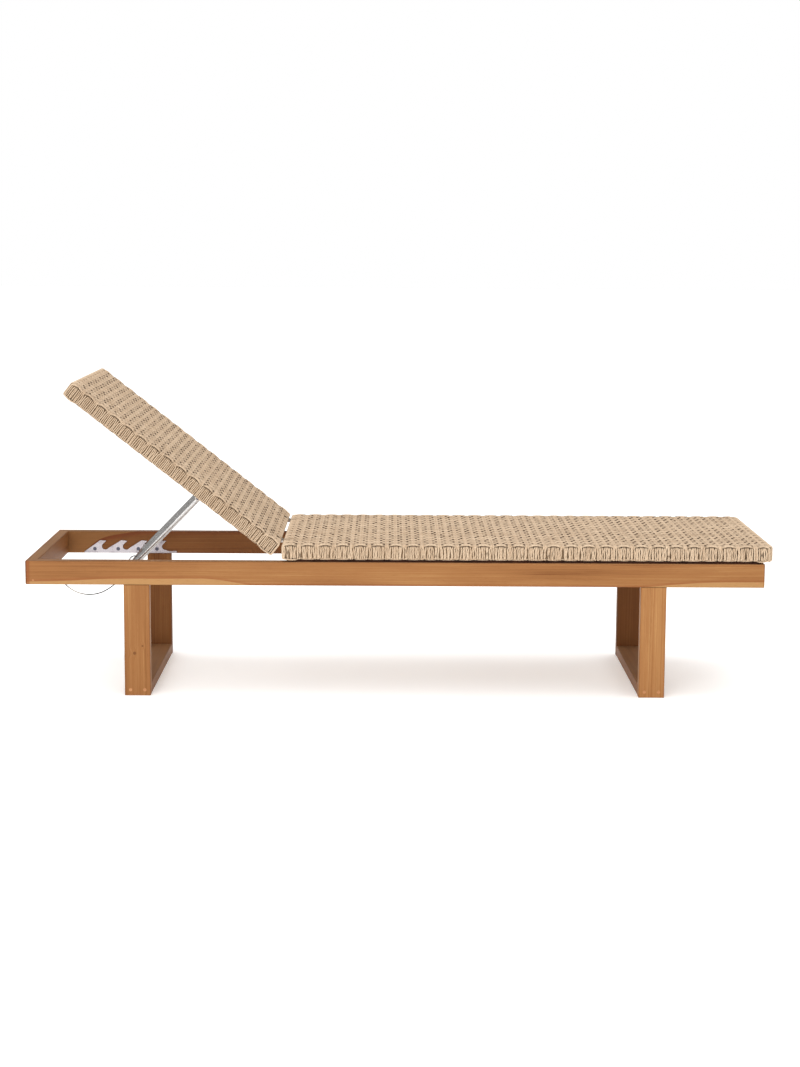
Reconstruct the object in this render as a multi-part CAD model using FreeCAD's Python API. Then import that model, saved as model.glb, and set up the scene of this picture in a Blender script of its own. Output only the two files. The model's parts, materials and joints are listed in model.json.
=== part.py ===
import FreeCAD, Part
import math
import os

os.makedirs("parts", exist_ok=True)
V = FreeCAD.Vector

# Timber frame, all sizes in millimetres
frame_length = 2000.0
frame_width = 590.0
frame_top = 370.0
rail_thickness = 31.0
rail_height = 65.0
post_width = 70.0
post_thickness = 31.0
post_inset = 265.0
stretcher_height = 31.0
bearer_width = 40.0
bearer_height = 40.0
hinge_bearer_inset = 45.0
corner_radius = 4.0
edge_radius = 2.5

# Dowels and corner pins
dowel_radius = 5.0
dowel_length = 60.0
dowel_fit = 0.05
dowel_end_gap = 0.5
post_dowel_spacing = 36.0
stretcher_dowel_spacing = 39.0
stretcher_dowel_radius = 4.5
stretcher_dowel_depth = 40.0
bearer_dowel_spacing = 20.0
mitre_dowel_radius = 4.0
mitre_dowel_length = 26.0
mitre_dowel_spacing = 28.0
mitre_dowel_height = 36.0
corner_pin_radius = 2.5
corner_pin_length = 45.0
corner_pin_inset = 21.0
corner_pin_height = 12.0

# Woven panels
panel_overhang = 5.0
panel_thickness = 45.0
panel_gap = 5.0
panel_rounding = 7.0
weave_thickness = 6.0
weave_fit = 0.3
seat_length = 1323.0
foot_overhang = 17.0
head_overhang = 20.0
backrest_angle = 38.0
tube_width = 25.0
tube_wall = 1.5
backrest_upper_rung = 230.0

# Panel pads and seat bolts
pad_width = 22.0
pad_end_inset = 12.0
pad_clearance = 0.3
bolt_pad_radius = 15.0
bolt_radius = 3.0
bolt_fit = 0.2
bolt_head_radius = 6.0
bolt_head_height = 4.0
bolt_grip = 12.0
bolt_side_inset = 130.0

# Hinges between the panels
hinge_gap = 8.0
pivot_depth = 5.0
hinge_side_inset = 95.0
knuckle_radius = 3.6
knuckle_length = 12.0
knuckle_play = 0.3
hinge_pin_radius = 2.0
hinge_pin_fit = 0.05
hinge_head_radius = 3.4
hinge_head_height = 1.5
strap_thickness = 3.0
strap_drop = 1.4
strap_fit = 0.4

# Toothed racks on the side rails
rack_thickness = 3.0
rack_lift = 1.0
rack_start = 79.0
rack_end = 353.0
rack_strip = 6.0
rack_toe = 3.5
first_notch = 141.0
second_notch_step = 62.0
third_notch_step = 60.0
last_notch_step = 56.0
notch_radius = 10.0
notch_height = 19.5
crest_height = 37.5
crest_setback = 15.0
tip_reach = 3.0
tip_drop = 1.5
slope_angle = 35.0
throat_angle = 150.0
first_screw_setback = 31.0
middle_screw_setback = 24.0
last_screw_setback = 25.0
screw_height = 12.0
screw_radius = 2.0
screw_head_radius = 4.0
rack_screw_head_radius = 5.5
screw_head_depth = 2.0
screw_length = 20.0
screw_fit = 0.05

# Prop that holds the backrest up
prop_tube_radius = 9.0
prop_tube_wall = 1.5
prop_leg_spacing = 330.0
prop_reach = 252.0
prop_drop = 14.0
prop_end_clearance = 0.8
cap_flange = 2.0
cap_plug_length = 12.0
cap_fit = 0.05
pivot_pin_radius = 4.0
pivot_pin_fit = 0.05
pivot_head_radius = 6.0
pivot_head_height = 1.5
ear_thickness = 3.0
ear_play = 0.6
ear_radius = 9.0
bracket_base = 2.5
bracket_length = 24.0
bracket_width = 62.0
bracket_screw_spacing = 44.0
bracket_screw_length = 14.0
bracket_screw_head = 1.8

# Stop wire from the head rail to the prop
wire_radius = 1.5
loop_radius = 16.0
loop_clearance = 1.25
ferrule_radius = 2.75
ferrule_length = 12.0
ferrule_angle = 52.0
ferrule_run = 25.0
anchor_depth = 12.0
anchor_width = 16.0
anchor_height = 16.0
anchor_rounding = 2.0
anchor_bottom = 308.0
anchor_screw_height = 9.0
wire_exit = 6.0

# Places worked out from the sizes above, with the origin on the floor below the
# middle of the lounger's overall length
head_x = -(frame_length + foot_overhang) / 2
foot_x = head_x + frame_length
side_y = frame_width / 2
inner_y = side_y - rail_thickness
rail_bottom = frame_top - rail_height
panel_width = frame_width + 2 * panel_overhang
panel_bottom = frame_top + panel_gap
panel_top = panel_bottom + panel_thickness
seat_end = foot_x + foot_overhang
seat_start = seat_end - seat_length
pivot = V(seat_start - hinge_gap / 2, 0, panel_top - pivot_depth)
back_end = pivot.x - hinge_gap / 2
back_start = head_x - head_overhang
tube_inset = weave_thickness + weave_fit
hinge_y = side_y - hinge_side_inset
notch_x = [head_x + first_notch]
for step in (second_notch_step, third_notch_step, last_notch_step):
    notch_x.append(notch_x[-1] + step)
rack_bottom = rail_bottom + rack_lift
notch_z = rack_bottom + notch_height
bar = V(notch_x[-2], 0, notch_z)
rung_x = pivot.x - prop_reach


def box(x0, x1, y0, y1, z0, z1):
    return Part.makeBox(x1 - x0, y1 - y0, z1 - z0, V(x0, y0, z0))


def rod(start, direction, length, radius):
    return Part.makeCylinder(radius, length, start, direction)


def tube(start, direction, length, radius, wall):
    return rod(start, direction, length, radius).cut(rod(start, direction, length, radius - wall))


def eased(shape, radius, axis):
    """Rounds the straight edges that run along one axis."""
    edges = []
    for edge in shape.Edges:
        run = edge.Vertexes[-1].Point - edge.Vertexes[0].Point
        if run.Length > 0 and abs(run.normalize().dot(axis)) > 0.999:
            edges.append(edge)
    return shape.makeFillet(radius, edges)


def cut_all(shape, tools):
    return shape.cut(tools) if tools else shape


def raised(shapes):
    """Turns pieces of the flat backrest up about the hinge pins."""
    for shape in shapes:
        shape.rotate(pivot, V(0, 1, 0), backrest_angle)
    return shapes


def save(node, shapes):
    """Writes one node and prints what it holds."""
    solids = [solid for shape in shapes for solid in shape.Solids]
    shape = solids[0] if len(solids) == 1 else Part.makeCompound(solids)
    valid = all(solid.isValid() for solid in solids)
    print(node, "solids", len(solids), "volume", round(shape.Volume), "valid", valid)
    shape.exportStep("parts/" + node + ".step")


def dowels(places, radius, length):
    """Plain dowels from (start, direction) pairs."""
    return [rod(start, direction, length, radius) for start, direction in places]


def dowel_holes(places, radius, length):
    """The holes for the same dowels, with the named fit and end gaps."""
    holes = []
    for start, direction in places:
        back = start - direction * dowel_end_gap
        holes.append(rod(back, direction, length + 2 * dowel_end_gap, radius + dowel_fit))
    return holes


# Timber frame
def frame_ring():
    """The frame as one ring with eased edges, before it is cut at the mitres."""
    outer = eased(box(head_x, foot_x, -side_y, side_y, rail_bottom, frame_top), corner_radius, V(0, 0, 1))
    inner = box(head_x + rail_thickness, foot_x - rail_thickness, -inner_y, inner_y, rail_bottom, frame_top)
    ring = outer.cut(inner)
    flat = []
    for edge in ring.Edges:
        low, high = edge.BoundBox.ZMin, edge.BoundBox.ZMax
        if high - low < 0.001:
            flat.append(edge)
    return ring.makeFillet(edge_radius, flat)


def wedge(points):
    """A flat prism as tall as the rails, for cutting the ring into mitred rails."""
    corners = [V(x, y, rail_bottom) for x, y in points]
    face = Part.Face(Part.makePolygon(corners + corners[:1]))
    return face.extrude(V(0, 0, rail_height))


def mitred_rails():
    t = rail_thickness
    side = [(head_x, -side_y), (foot_x, -side_y), (foot_x - t, -inner_y), (head_x + t, -inner_y)]
    end = [(head_x, -side_y), (head_x + t, -inner_y), (head_x + t, inner_y), (head_x, side_y)]
    middle = head_x + foot_x
    outlines = {
        "side_rail_near": side,
        "side_rail_far": [(x, -y) for x, y in side],
        "head_rail": end,
        "foot_rail": [(middle - x, y) for x, y in end],
    }
    ring = frame_ring()
    return {node: ring.common(wedge(points)) for node, points in outlines.items()}


def post_starts():
    return {"head": head_x + post_inset, "foot": foot_x - post_inset - post_width}


def bearer_centres():
    """The bearers under the seat: one near the hinges and one under its middle."""
    return [seat_start + hinge_bearer_inset, (seat_start + seat_end) / 2]


def post_dowel_places():
    places = []
    for start in post_starts().values():
        for side in (-1, 1):
            for shift in (-0.5, 0.5):
                x = start + post_width / 2 + shift * post_dowel_spacing
                y = side * (side_y - post_thickness / 2)
                places.append((V(x, y, rail_bottom - dowel_length / 2), V(0, 0, 1)))
    return places


def stretcher_dowel_places():
    places = []
    for start in post_starts().values():
        for side in (-1, 1):
            for shift in (-0.5, 0.5):
                x = start + post_width / 2 + shift * stretcher_dowel_spacing
                places.append((V(x, side * side_y, stretcher_height / 2), V(0, -side, 0)))
    return places


def bearer_dowel_places():
    places = []
    for centre in bearer_centres():
        for side in (-1, 1):
            for shift in (-0.5, 0.5):
                z = frame_top - bearer_height / 2
                x = centre + shift * bearer_dowel_spacing
                y = side * (inner_y + rail_thickness / 2)
                places.append((V(x, y, z), V(0, -side, 0)))
    return places


def mitre_dowel_places():
    places = []
    for x, along in ((head_x + rail_thickness / 2, 1), (foot_x - rail_thickness / 2, -1)):
        for side in (-1, 1):
            for shift in (-0.5, 0.5):
                z = rail_bottom + mitre_dowel_height + shift * mitre_dowel_spacing
                centre = V(x, side * (side_y - rail_thickness / 2), z)
                direction = V(along, side, 0).normalize()
                places.append((centre - direction * (mitre_dowel_length / 2), direction))
    return places


def corner_pin_places():
    places = []
    for x in (head_x + corner_pin_inset, foot_x - corner_pin_inset):
        for side in (-1, 1):
            places.append((V(x, side * side_y, rail_bottom + corner_pin_height), V(0, -side, 0)))
    return places


def bolt_places():
    places = []
    for centre in bearer_centres():
        for side in (-1, 1):
            places.append(V(centre, side * (side_y - bolt_side_inset), frame_top - bearer_height))
    return places


def bolt(place):
    head = rod(place - V(0, 0, bolt_head_height), V(0, 0, 1), bolt_head_height, bolt_head_radius)
    length = bearer_height + panel_gap + tube_inset + bolt_grip
    return head.fuse(rod(place, V(0, 0, 1), length, bolt_radius)).removeSplitter()


def bolt_hole(place):
    length = bearer_height + panel_gap + tube_inset + bolt_grip + bolt_fit
    return rod(place, V(0, 0, 1), length, bolt_radius + bolt_fit)


bearer_dowel_length = dowel_length * 0.5 + rail_thickness * 0.5
stretcher_dowel_length = post_thickness + stretcher_dowel_depth
rails = mitred_rails()
post_holes = dowel_holes(post_dowel_places(), dowel_radius, dowel_length)
stretcher_holes = dowel_holes(stretcher_dowel_places(), stretcher_dowel_radius, stretcher_dowel_length)
bearer_holes = dowel_holes(bearer_dowel_places(), dowel_radius, bearer_dowel_length)
mitre_holes = dowel_holes(mitre_dowel_places(), mitre_dowel_radius, mitre_dowel_length)
pin_holes = dowel_holes(corner_pin_places(), corner_pin_radius, corner_pin_length)
bolt_holes = [bolt_hole(place) for place in bolt_places()]

save("mitre_dowels", dowels(mitre_dowel_places(), mitre_dowel_radius, mitre_dowel_length))
save("corner_pins", dowels(corner_pin_places(), corner_pin_radius, corner_pin_length))
save("post_dowels", dowels(post_dowel_places(), dowel_radius, dowel_length))
save("stretcher_dowels", dowels(stretcher_dowel_places(), stretcher_dowel_radius, stretcher_dowel_length))
save("bearer_dowels", dowels(bearer_dowel_places(), dowel_radius, bearer_dowel_length))
save("seat_bolts", [bolt(place) for place in bolt_places()])

for end, start in post_starts().items():
    for name, side in (("near", -1), ("far", 1)):
        y0, y1 = sorted((side * side_y, side * (side_y - post_thickness)))
        post = eased(box(start, start + post_width, y0, y1, 0, rail_bottom), edge_radius, V(0, 0, 1))
        save("post_" + end + "_" + name, [cut_all(post, post_holes + stretcher_holes)])
    gap_y = side_y - post_thickness
    stretcher = box(start, start + post_width, -gap_y, gap_y, 0, stretcher_height)
    stretcher = eased(stretcher, edge_radius, V(0, 1, 0))
    save("stretcher_" + end, [cut_all(stretcher, stretcher_holes)])

for name, centre in zip(("hinge", "middle"), bearer_centres()):
    bearer = box(centre - bearer_width / 2, centre + bearer_width / 2, -inner_y, inner_y,
                 frame_top - bearer_height, frame_top)
    bearer = eased(bearer, edge_radius, V(0, 1, 0))
    save("bearer_" + name, [cut_all(bearer, bearer_holes + bolt_holes)])


# Woven panels on hollow tube frames
def ladder(start, end, rungs, shrink):
    """A flat ladder of square-ended tubes. With shrink it is the hollow inside the same tubes."""
    z0, z1 = panel_bottom + tube_inset + shrink, panel_top - tube_inset - shrink
    half = panel_width / 2 - tube_inset
    x0, x1 = start + tube_inset, end - tube_inset
    shape = box(x0 + shrink, x1 - shrink, shrink - half, half - shrink, z0, z1)
    lows = [x0 + tube_width] + [rung + tube_width / 2 for rung in rungs]
    highs = [rung - tube_width / 2 for rung in rungs] + [x1 - tube_width]
    side = half - tube_width + shrink
    return cut_all(shape, [box(a - shrink, b + shrink, -side, side, z0, z1) for a, b in zip(lows, highs)])


def tube_frame(start, end, rungs):
    return ladder(start, end, rungs, 0).cut(ladder(start, end, rungs, tube_wall))


def woven_skin(start, end):
    """The closed cord skin, with the hollow that its tube frame fills."""
    half = panel_width / 2
    skin = box(start, end, -half, half, panel_bottom, panel_top)
    skin = skin.makeFillet(panel_rounding, skin.Edges)
    w = weave_thickness
    return skin.cut(box(start + w, end - w, w - half, half - w, panel_bottom + w, panel_top - w))


def pad(start, end, y, height):
    block = box(start, end, y - pad_width / 2, y + pad_width / 2, panel_bottom - height, panel_bottom)
    return eased(block, edge_radius, V(0, 0, 1))


pad_y = side_y - rail_thickness / 2
strip_start, strip_end = seat_start + pad_end_inset, foot_x - pad_end_inset
seat_pads = [pad(strip_start, strip_end, side * pad_y, panel_gap) for side in (-1, 1)]
for place in bolt_places():
    ring = rod(V(place.x, place.y, frame_top), V(0, 0, 1), panel_gap, bolt_pad_radius)
    seat_pads.append(ring.cut(bolt_hole(place)))
save("seat_pads", seat_pads)

back_pad_start = head_x + (rail_thickness - pad_width) / 2
back_pad_end = back_pad_start + pad_width
back_pad_height = panel_gap - pad_clearance
back_pads = [pad(back_pad_start, back_pad_end, y, back_pad_height) for y in (-hinge_y, 0, hinge_y)]
save("backrest_pads", raised(back_pads))


# Hinges: one knuckle on the seat between two on the backrest
def knuckle(y, length, frame_x, fit=0.0):
    """A knuckle and the strap that joins it to a tube frame's end face at frame_x."""
    y0, y1 = y - length / 2 - fit, y + length / 2 + fit
    barrel = rod(V(pivot.x, y0, pivot.z), V(0, 1, 0), y1 - y0, knuckle_radius + fit)
    x0, x1 = sorted((pivot.x, frame_x))
    top = pivot.z - strap_drop
    strap = box(x0, x1, y0, y1, top - strap_thickness - fit, top + fit)
    return barrel.fuse(strap)


def bored(shape):
    hole = rod(V(pivot.x, -side_y, pivot.z), V(0, 1, 0), frame_width, hinge_pin_radius + hinge_pin_fit)
    return shape.cut(hole)


def hinge_pin(y):
    half = 1.5 * knuckle_length + 2 * knuckle_play
    pin = rod(V(pivot.x, y - half, pivot.z), V(0, 1, 0), 2 * half, hinge_pin_radius)
    for side in (-1, 1):
        head = rod(V(pivot.x, y + side * half, pivot.z), V(0, side, 0), hinge_head_height, hinge_head_radius)
        pin = pin.fuse(head)
    return pin.removeSplitter()


def hinge_slot(y, frame_x):
    """Room for a whole knuckle and its strap where the cords part round it."""
    return knuckle(y, knuckle_length, frame_x, strap_fit)


seat_tube_end = seat_start + tube_inset
back_tube_end = back_end - tube_inset
knuckle_step = knuckle_length + knuckle_play
seat_slots, back_slots = [], []
for name, y in (("near", -hinge_y), ("far", hinge_y)):
    outer_y = [y - knuckle_step, y + knuckle_step]
    save("seat_hinge_" + name, [bored(knuckle(y, knuckle_length, seat_tube_end))])
    back_knuckles = [bored(knuckle(place, knuckle_length, back_tube_end)) for place in outer_y]
    save("back_hinge_" + name, raised(back_knuckles))
    seat_slots.append(hinge_slot(y, seat_tube_end))
    back_slots += [hinge_slot(place, back_tube_end) for place in outer_y]
save("hinge_pins", [hinge_pin(-hinge_y), hinge_pin(hinge_y)])


# Brackets and pins that carry the prop below the backrest
def turned(point):
    """A point of the flat backrest, where it lies with the backrest raised."""
    angle = math.radians(backrest_angle)
    x, z = point.x - pivot.x, point.z - pivot.z
    return V(pivot.x + x * math.cos(angle) + z * math.sin(angle), point.y,
             pivot.z - x * math.sin(angle) + z * math.cos(angle))


ear_y = prop_tube_radius + ear_play
leg_ys = {"near": -prop_leg_spacing / 2, "far": prop_leg_spacing / 2}
prop_pivot_z = panel_bottom - prop_drop


def bracket_screw_places(y):
    z = panel_bottom - bracket_base
    return [V(rung_x, y + shift * bracket_screw_spacing, z) for shift in (-0.5, 0.5)]


def bracket_screw(place, fit=0.0):
    head = rod(place, V(0, 0, -1), bracket_screw_head, screw_head_radius + fit)
    return head.fuse(rod(place, V(0, 0, 1), bracket_screw_length + fit, screw_radius + fit)).removeSplitter()


def prop_bracket(y):
    base = box(rung_x - bracket_length / 2, rung_x + bracket_length / 2,
               y - bracket_width / 2, y + bracket_width / 2, panel_bottom - bracket_base, panel_bottom)
    shape = eased(base, edge_radius, V(0, 0, 1))
    for side in (-1, 1):
        inner = y + side * ear_y
        y0, y1 = sorted((inner, inner + side * ear_thickness))
        shape = shape.fuse(box(rung_x - ear_radius, rung_x + ear_radius, y0, y1, prop_pivot_z, panel_bottom))
        shape = shape.fuse(rod(V(rung_x, y0, prop_pivot_z), V(0, 1, 0), ear_thickness, ear_radius))
    hole = rod(V(rung_x, y - bracket_width, prop_pivot_z), V(0, 1, 0), 2 * bracket_width,
               pivot_pin_radius + pivot_pin_fit)
    screws = [bracket_screw(place, screw_fit) for place in bracket_screw_places(y)]
    return cut_all(shape.removeSplitter(), [hole] + screws)


def pivot_pin(y):
    half = ear_y + ear_thickness + ear_play
    pin = rod(V(rung_x, y - half, prop_pivot_z), V(0, 1, 0), 2 * half, pivot_pin_radius)
    for side in (-1, 1):
        start = V(rung_x, y + side * half, prop_pivot_z)
        pin = pin.fuse(rod(start, V(0, side, 0), pivot_head_height, pivot_head_radius))
    return pin.removeSplitter()


screw_places = [place for y in leg_ys.values() for place in bracket_screw_places(y)]
for name, y in leg_ys.items():
    save("prop_bracket_" + name, raised([prop_bracket(y)]))
save("prop_pivot_pins", raised([pivot_pin(y) for y in leg_ys.values()]))
save("bracket_screws", raised([bracket_screw(place) for place in screw_places]))

bracket_holes = [bracket_screw(place, screw_fit) for place in screw_places]
back_rungs = [back_start + backrest_upper_rung, rung_x]
back_frame = tube_frame(back_start, back_end, back_rungs)
save("backrest_frame", raised([cut_all(back_frame, bracket_holes)]))
save("backrest_weave", raised([cut_all(woven_skin(back_start, back_end), bracket_holes + back_slots)]))

seat_rungs = bearer_centres()
seat_frame = tube_frame(seat_start, seat_end, seat_rungs)
save("seat_frame", [cut_all(seat_frame, bolt_holes)])
save("seat_weave", [cut_all(woven_skin(seat_start, seat_end), bolt_holes + seat_slots)])


# Toothed racks
def on_notch(x, angle):
    turn = math.radians(angle)
    return V(x + notch_radius * math.cos(turn), 0, notch_z + notch_radius * math.sin(turn))


def rack_plate():
    """One rack's outline in the XZ plane: hooks that lean towards the foot, over round notches."""
    crest = rack_bottom + crest_height
    edges = []
    here = V(head_x + rack_start, 0, rack_bottom)
    first = here

    def line_to(point):
        nonlocal here
        edges.append(Part.LineSegment(here, point).toShape())
        here = point

    line_to(V(here.x, 0, rack_bottom + rack_toe))
    for x in notch_x:
        line_to(V(x - crest_setback, 0, crest))
        line_to(V(x + tip_reach, 0, crest - tip_drop))
        line_to(on_notch(x, throat_angle))
        last = x == notch_x[-1]
        leave = on_notch(x, -90 if last else -slope_angle)
        low = on_notch(x, (throat_angle + 270) / 2 if last else (throat_angle + 360 - slope_angle) / 2)
        edges.append(Part.Arc(here, low, leave).toShape())
        here = leave
    strip_top = rack_bottom + rack_strip
    line_to(V(notch_x[-1] + notch_radius, 0, strip_top))
    line_to(V(head_x + rack_end, 0, strip_top))
    line_to(V(head_x + rack_end, 0, rack_bottom))
    line_to(first)
    face = Part.Face(Part.Wire(edges))
    return face.extrude(V(0, rack_thickness, 0))


def rack_screw_places(side):
    places = []
    setbacks = (first_screw_setback, middle_screw_setback, middle_screw_setback, last_screw_setback)
    for x, setback in zip(notch_x, setbacks):
        places.append(V(x - setback, side * (inner_y - rack_thickness), rack_bottom + screw_height))
    return places


def rack_screw(place, side, fit=0.0):
    """A countersunk screw with its head flush with the rack."""
    out = V(0, side, 0)
    head = Part.makeCone(rack_screw_head_radius + fit, screw_radius + fit, screw_head_depth, place, out)
    return head.fuse(rod(place, out, screw_length + fit, screw_radius + fit)).removeSplitter()


rack_screws, screw_holes = [], []
for name, side in (("near", -1), ("far", 1)):
    plate = rack_plate()
    plate.translate(V(0, inner_y - rack_thickness if side > 0 else -inner_y, 0))
    places = rack_screw_places(side)
    holes = [rack_screw(place, side, screw_fit) for place in places]
    rack_screws += [rack_screw(place, side) for place in places]
    screw_holes += holes
    save("rack_" + name, [cut_all(plate, holes)])
save("rack_screws", rack_screws)

# Anchor of the stop wire, on the head rail's inner face
anchor_x = head_x + rail_thickness
anchor = eased(box(anchor_x, anchor_x + anchor_depth, -anchor_width / 2, anchor_width / 2,
                   anchor_bottom, anchor_bottom + anchor_height), anchor_rounding, V(1, 0, 0))
anchor_face = V(anchor_x + anchor_depth, 0, anchor_bottom + anchor_screw_height)


def anchor_screw(fit=0.0):
    inward = V(-1, 0, 0)
    head = Part.makeCone(screw_head_radius + fit, screw_radius + fit, screw_head_depth, anchor_face, inward)
    shank = rod(anchor_face, inward, anchor_depth + screw_length + fit, screw_radius + fit)
    return head.fuse(shank).removeSplitter()


save("wire_anchor", [anchor.cut(anchor_screw(screw_fit))])
save("anchor_screw", [anchor_screw()])

frame_holes = post_holes + bearer_holes + mitre_holes + pin_holes + screw_holes + [anchor_screw(screw_fit)]
for node, rail in rails.items():
    save(node, [cut_all(rail, frame_holes)])

# Prop: two legs, a crossbar that drops into the racks, and its end caps
bar_half = inner_y - rack_thickness - prop_end_clearance - cap_flange
bar_start = bar - V(0, bar_half, 0)
save("prop_crossbar", [tube(bar_start, V(0, 1, 0), 2 * bar_half, prop_tube_radius, prop_tube_wall)])

for name, y in leg_ys.items():
    top = turned(V(rung_x, y, prop_pivot_z))
    foot = V(bar.x, y, bar.z)
    down = (foot - top).normalize()
    length = foot.distanceToPoint(top)
    leg = rod(top, down, length, prop_tube_radius).fuse(Part.makeSphere(prop_tube_radius, top))
    hollow_start = top + down * prop_tube_radius
    hollow = rod(hollow_start, down, length - prop_tube_radius, prop_tube_radius - prop_tube_wall)
    bore = rod(top - V(0, bracket_width / 2, 0), V(0, 1, 0), bracket_width, pivot_pin_radius + pivot_pin_fit)
    crossbar = rod(V(bar.x, -bar_half, bar.z), V(0, 1, 0), 2 * bar_half, prop_tube_radius)
    save("prop_leg_" + name, [leg.removeSplitter().cut([hollow, bore, crossbar])])
    print("prop leg", name, "length", round(length, 2))

caps = []
for side in (-1, 1):
    out = V(0, side, 0)
    end = bar + out * bar_half
    plug_radius = prop_tube_radius - prop_tube_wall - cap_fit
    plug = rod(end - out * cap_plug_length, out, cap_plug_length, plug_radius)
    caps.append(plug.fuse(rod(end, out, cap_flange, prop_tube_radius)).removeSplitter())
save("prop_end_caps", caps)


# Stop wire: a slack arc in the middle plane, from the anchor to a crimped loop round the crossbar
def cord(points, radius):
    """A tube of straight runs and tangent arcs through hand-chosen points."""
    edges = []
    here = points[0]
    radii = []
    for before, corner, after in zip(points, points[1:], points[2:]):
        back, ahead = (before - corner), (after - corner)
        shorter = min(back.Length, ahead.Length)
        back.normalize()
        ahead.normalize()
        half_turn = (math.pi - back.getAngle(ahead)) / 2
        bend = 0.45 * shorter / math.tan(half_turn)
        radii.append(round(bend, 1))
        start, stop = corner + back * (0.45 * shorter), corner + ahead * (0.45 * shorter)
        inward = (back + ahead).normalize()
        centre = corner + inward * (bend / math.cos(half_turn))
        edges.append(Part.LineSegment(here, start).toShape())
        edges.append(Part.Arc(start, centre - inward * bend, stop).toShape())
        here = stop
    edges.append(Part.LineSegment(here, points[-1]).toShape())
    path = Part.Wire(edges)
    ring = Part.Wire(Part.makeCircle(radius, points[0], points[1] - points[0]))
    solid = path.makePipeShell([ring], True, False)
    print("wire radii", radii, "length", round(path.Length, 1),
          "volume share", round(solid.Volume / (math.pi * radius * radius * path.Length), 4))
    return solid


towards_bar = V(math.cos(math.radians(ferrule_angle)), 0, math.sin(math.radians(ferrule_angle)))
loop_centre = bar - towards_bar * (loop_radius - wire_radius - prop_tube_radius - loop_clearance)
ferrule_end = loop_centre - towards_bar * (loop_radius + wire_radius)
ferrule_start = ferrule_end - towards_bar * ferrule_length
wire_points = [
    V(anchor_x + wire_exit, 0, anchor_bottom),
    V(-969.5, 0, 291.0),
    V(-959.5, 0, 270.0),
    V(-938.5, 0, 246.0),
    V(-909.5, 0, 229.5),
    V(-877.5, 0, 225.0),
    V(-846.5, 0, 230.5),
    V(-820.5, 0, 245.0),
    V(-800.5, 0, 261.0),
    ferrule_start - towards_bar * ferrule_run,
    ferrule_start,
]
save("stop_wire", [cord(wire_points, wire_radius)])
save("wire_ferrule", [rod(ferrule_start, towards_bar, ferrule_length, ferrule_radius)])
save("wire_loop", [Part.makeTorus(loop_radius, wire_radius, loop_centre, V(0, 1, 0))])
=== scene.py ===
import json
import math

import bpy
import numpy as np
from mathutils import Matrix, Vector


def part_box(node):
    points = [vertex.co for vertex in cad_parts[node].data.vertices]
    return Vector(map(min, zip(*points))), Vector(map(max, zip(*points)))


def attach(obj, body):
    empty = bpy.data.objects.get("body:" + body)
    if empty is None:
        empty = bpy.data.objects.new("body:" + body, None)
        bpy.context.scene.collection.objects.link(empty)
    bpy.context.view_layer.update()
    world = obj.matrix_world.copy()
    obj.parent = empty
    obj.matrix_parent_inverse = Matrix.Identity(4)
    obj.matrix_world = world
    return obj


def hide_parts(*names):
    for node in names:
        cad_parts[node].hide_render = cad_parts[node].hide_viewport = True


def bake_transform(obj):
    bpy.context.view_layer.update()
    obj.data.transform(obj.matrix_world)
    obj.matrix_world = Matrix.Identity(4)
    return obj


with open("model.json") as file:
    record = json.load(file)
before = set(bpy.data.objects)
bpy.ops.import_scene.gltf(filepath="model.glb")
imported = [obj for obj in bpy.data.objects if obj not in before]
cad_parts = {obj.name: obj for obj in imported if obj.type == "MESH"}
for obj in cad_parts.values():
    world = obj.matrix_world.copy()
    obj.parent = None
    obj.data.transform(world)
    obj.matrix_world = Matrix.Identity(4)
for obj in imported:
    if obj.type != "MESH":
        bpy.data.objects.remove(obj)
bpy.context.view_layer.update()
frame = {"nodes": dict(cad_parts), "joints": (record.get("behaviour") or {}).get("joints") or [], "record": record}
nodes = frame["nodes"]
joints = {joint["name"]: joint for joint in frame["joints"]}
print("frame loaded:", len(nodes), "pieces")

mm = 0.001  # sizes below are metres, and mm turns millimetres into them


# Camera, at the place and with the lens that the picture was taken with
camera = {
    "place": (-0.029, -5.809, 1.2542),
    "turn": 0.00585,  # radians to the right of straight across
    "tilt": 0.14495,  # radians down
    "lean": 0.006,  # radians about the line of sight
    "lens": 69.77,  # mm
    "longSide": 36.0,  # mm, of the film behind it
    "farthest": 80.0,
}


def makeCamera(c):
    data = bpy.data.cameras.new("viewCamera")
    data.lens, data.sensor_width, data.clip_end = c["lens"], c["longSide"], c["farthest"]
    ahead = np.array((math.sin(c["turn"]) * math.cos(c["tilt"]), math.cos(c["turn"]) * math.cos(c["tilt"]),
                      -math.sin(c["tilt"])))
    level = np.array((math.cos(c["turn"]), -math.sin(c["turn"]), 0.0))
    up = np.cross(level, ahead)
    across = math.cos(c["lean"]) * level + math.sin(c["lean"]) * up
    above = -math.sin(c["lean"]) * level + math.cos(c["lean"]) * up
    place = np.eye(4)
    place[:3, 0], place[:3, 1], place[:3, 2], place[:3, 3] = across, above, -ahead, c["place"]
    eye = bpy.data.objects.new("viewCamera", data)
    bpy.context.scene.collection.objects.link(eye)
    eye.matrix_world = Matrix(place.tolist())
    bpy.context.scene.camera = eye


makeCamera(camera)
print("camera placed")


# Mesh helpers
def newObject(name, mesh):
    piece = bpy.data.objects.new(name, mesh)
    bpy.context.scene.collection.objects.link(piece)
    return piece


# Each quad's corners in a tube's own coordinates: the length along it, and the share of a turn.
def tubeUv(along, sides):
    turn = np.arange(sides) / sides
    u = np.stack((along[..., :-1], along[..., 1:], along[..., 1:], along[..., :-1]), axis=-1)[..., None, :]
    v = np.stack((turn, turn, turn + 1 / sides, turn + 1 / sides), axis=-1)
    return np.stack(np.broadcast_arrays(u, v), axis=-1).reshape(-1, 2)


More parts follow.
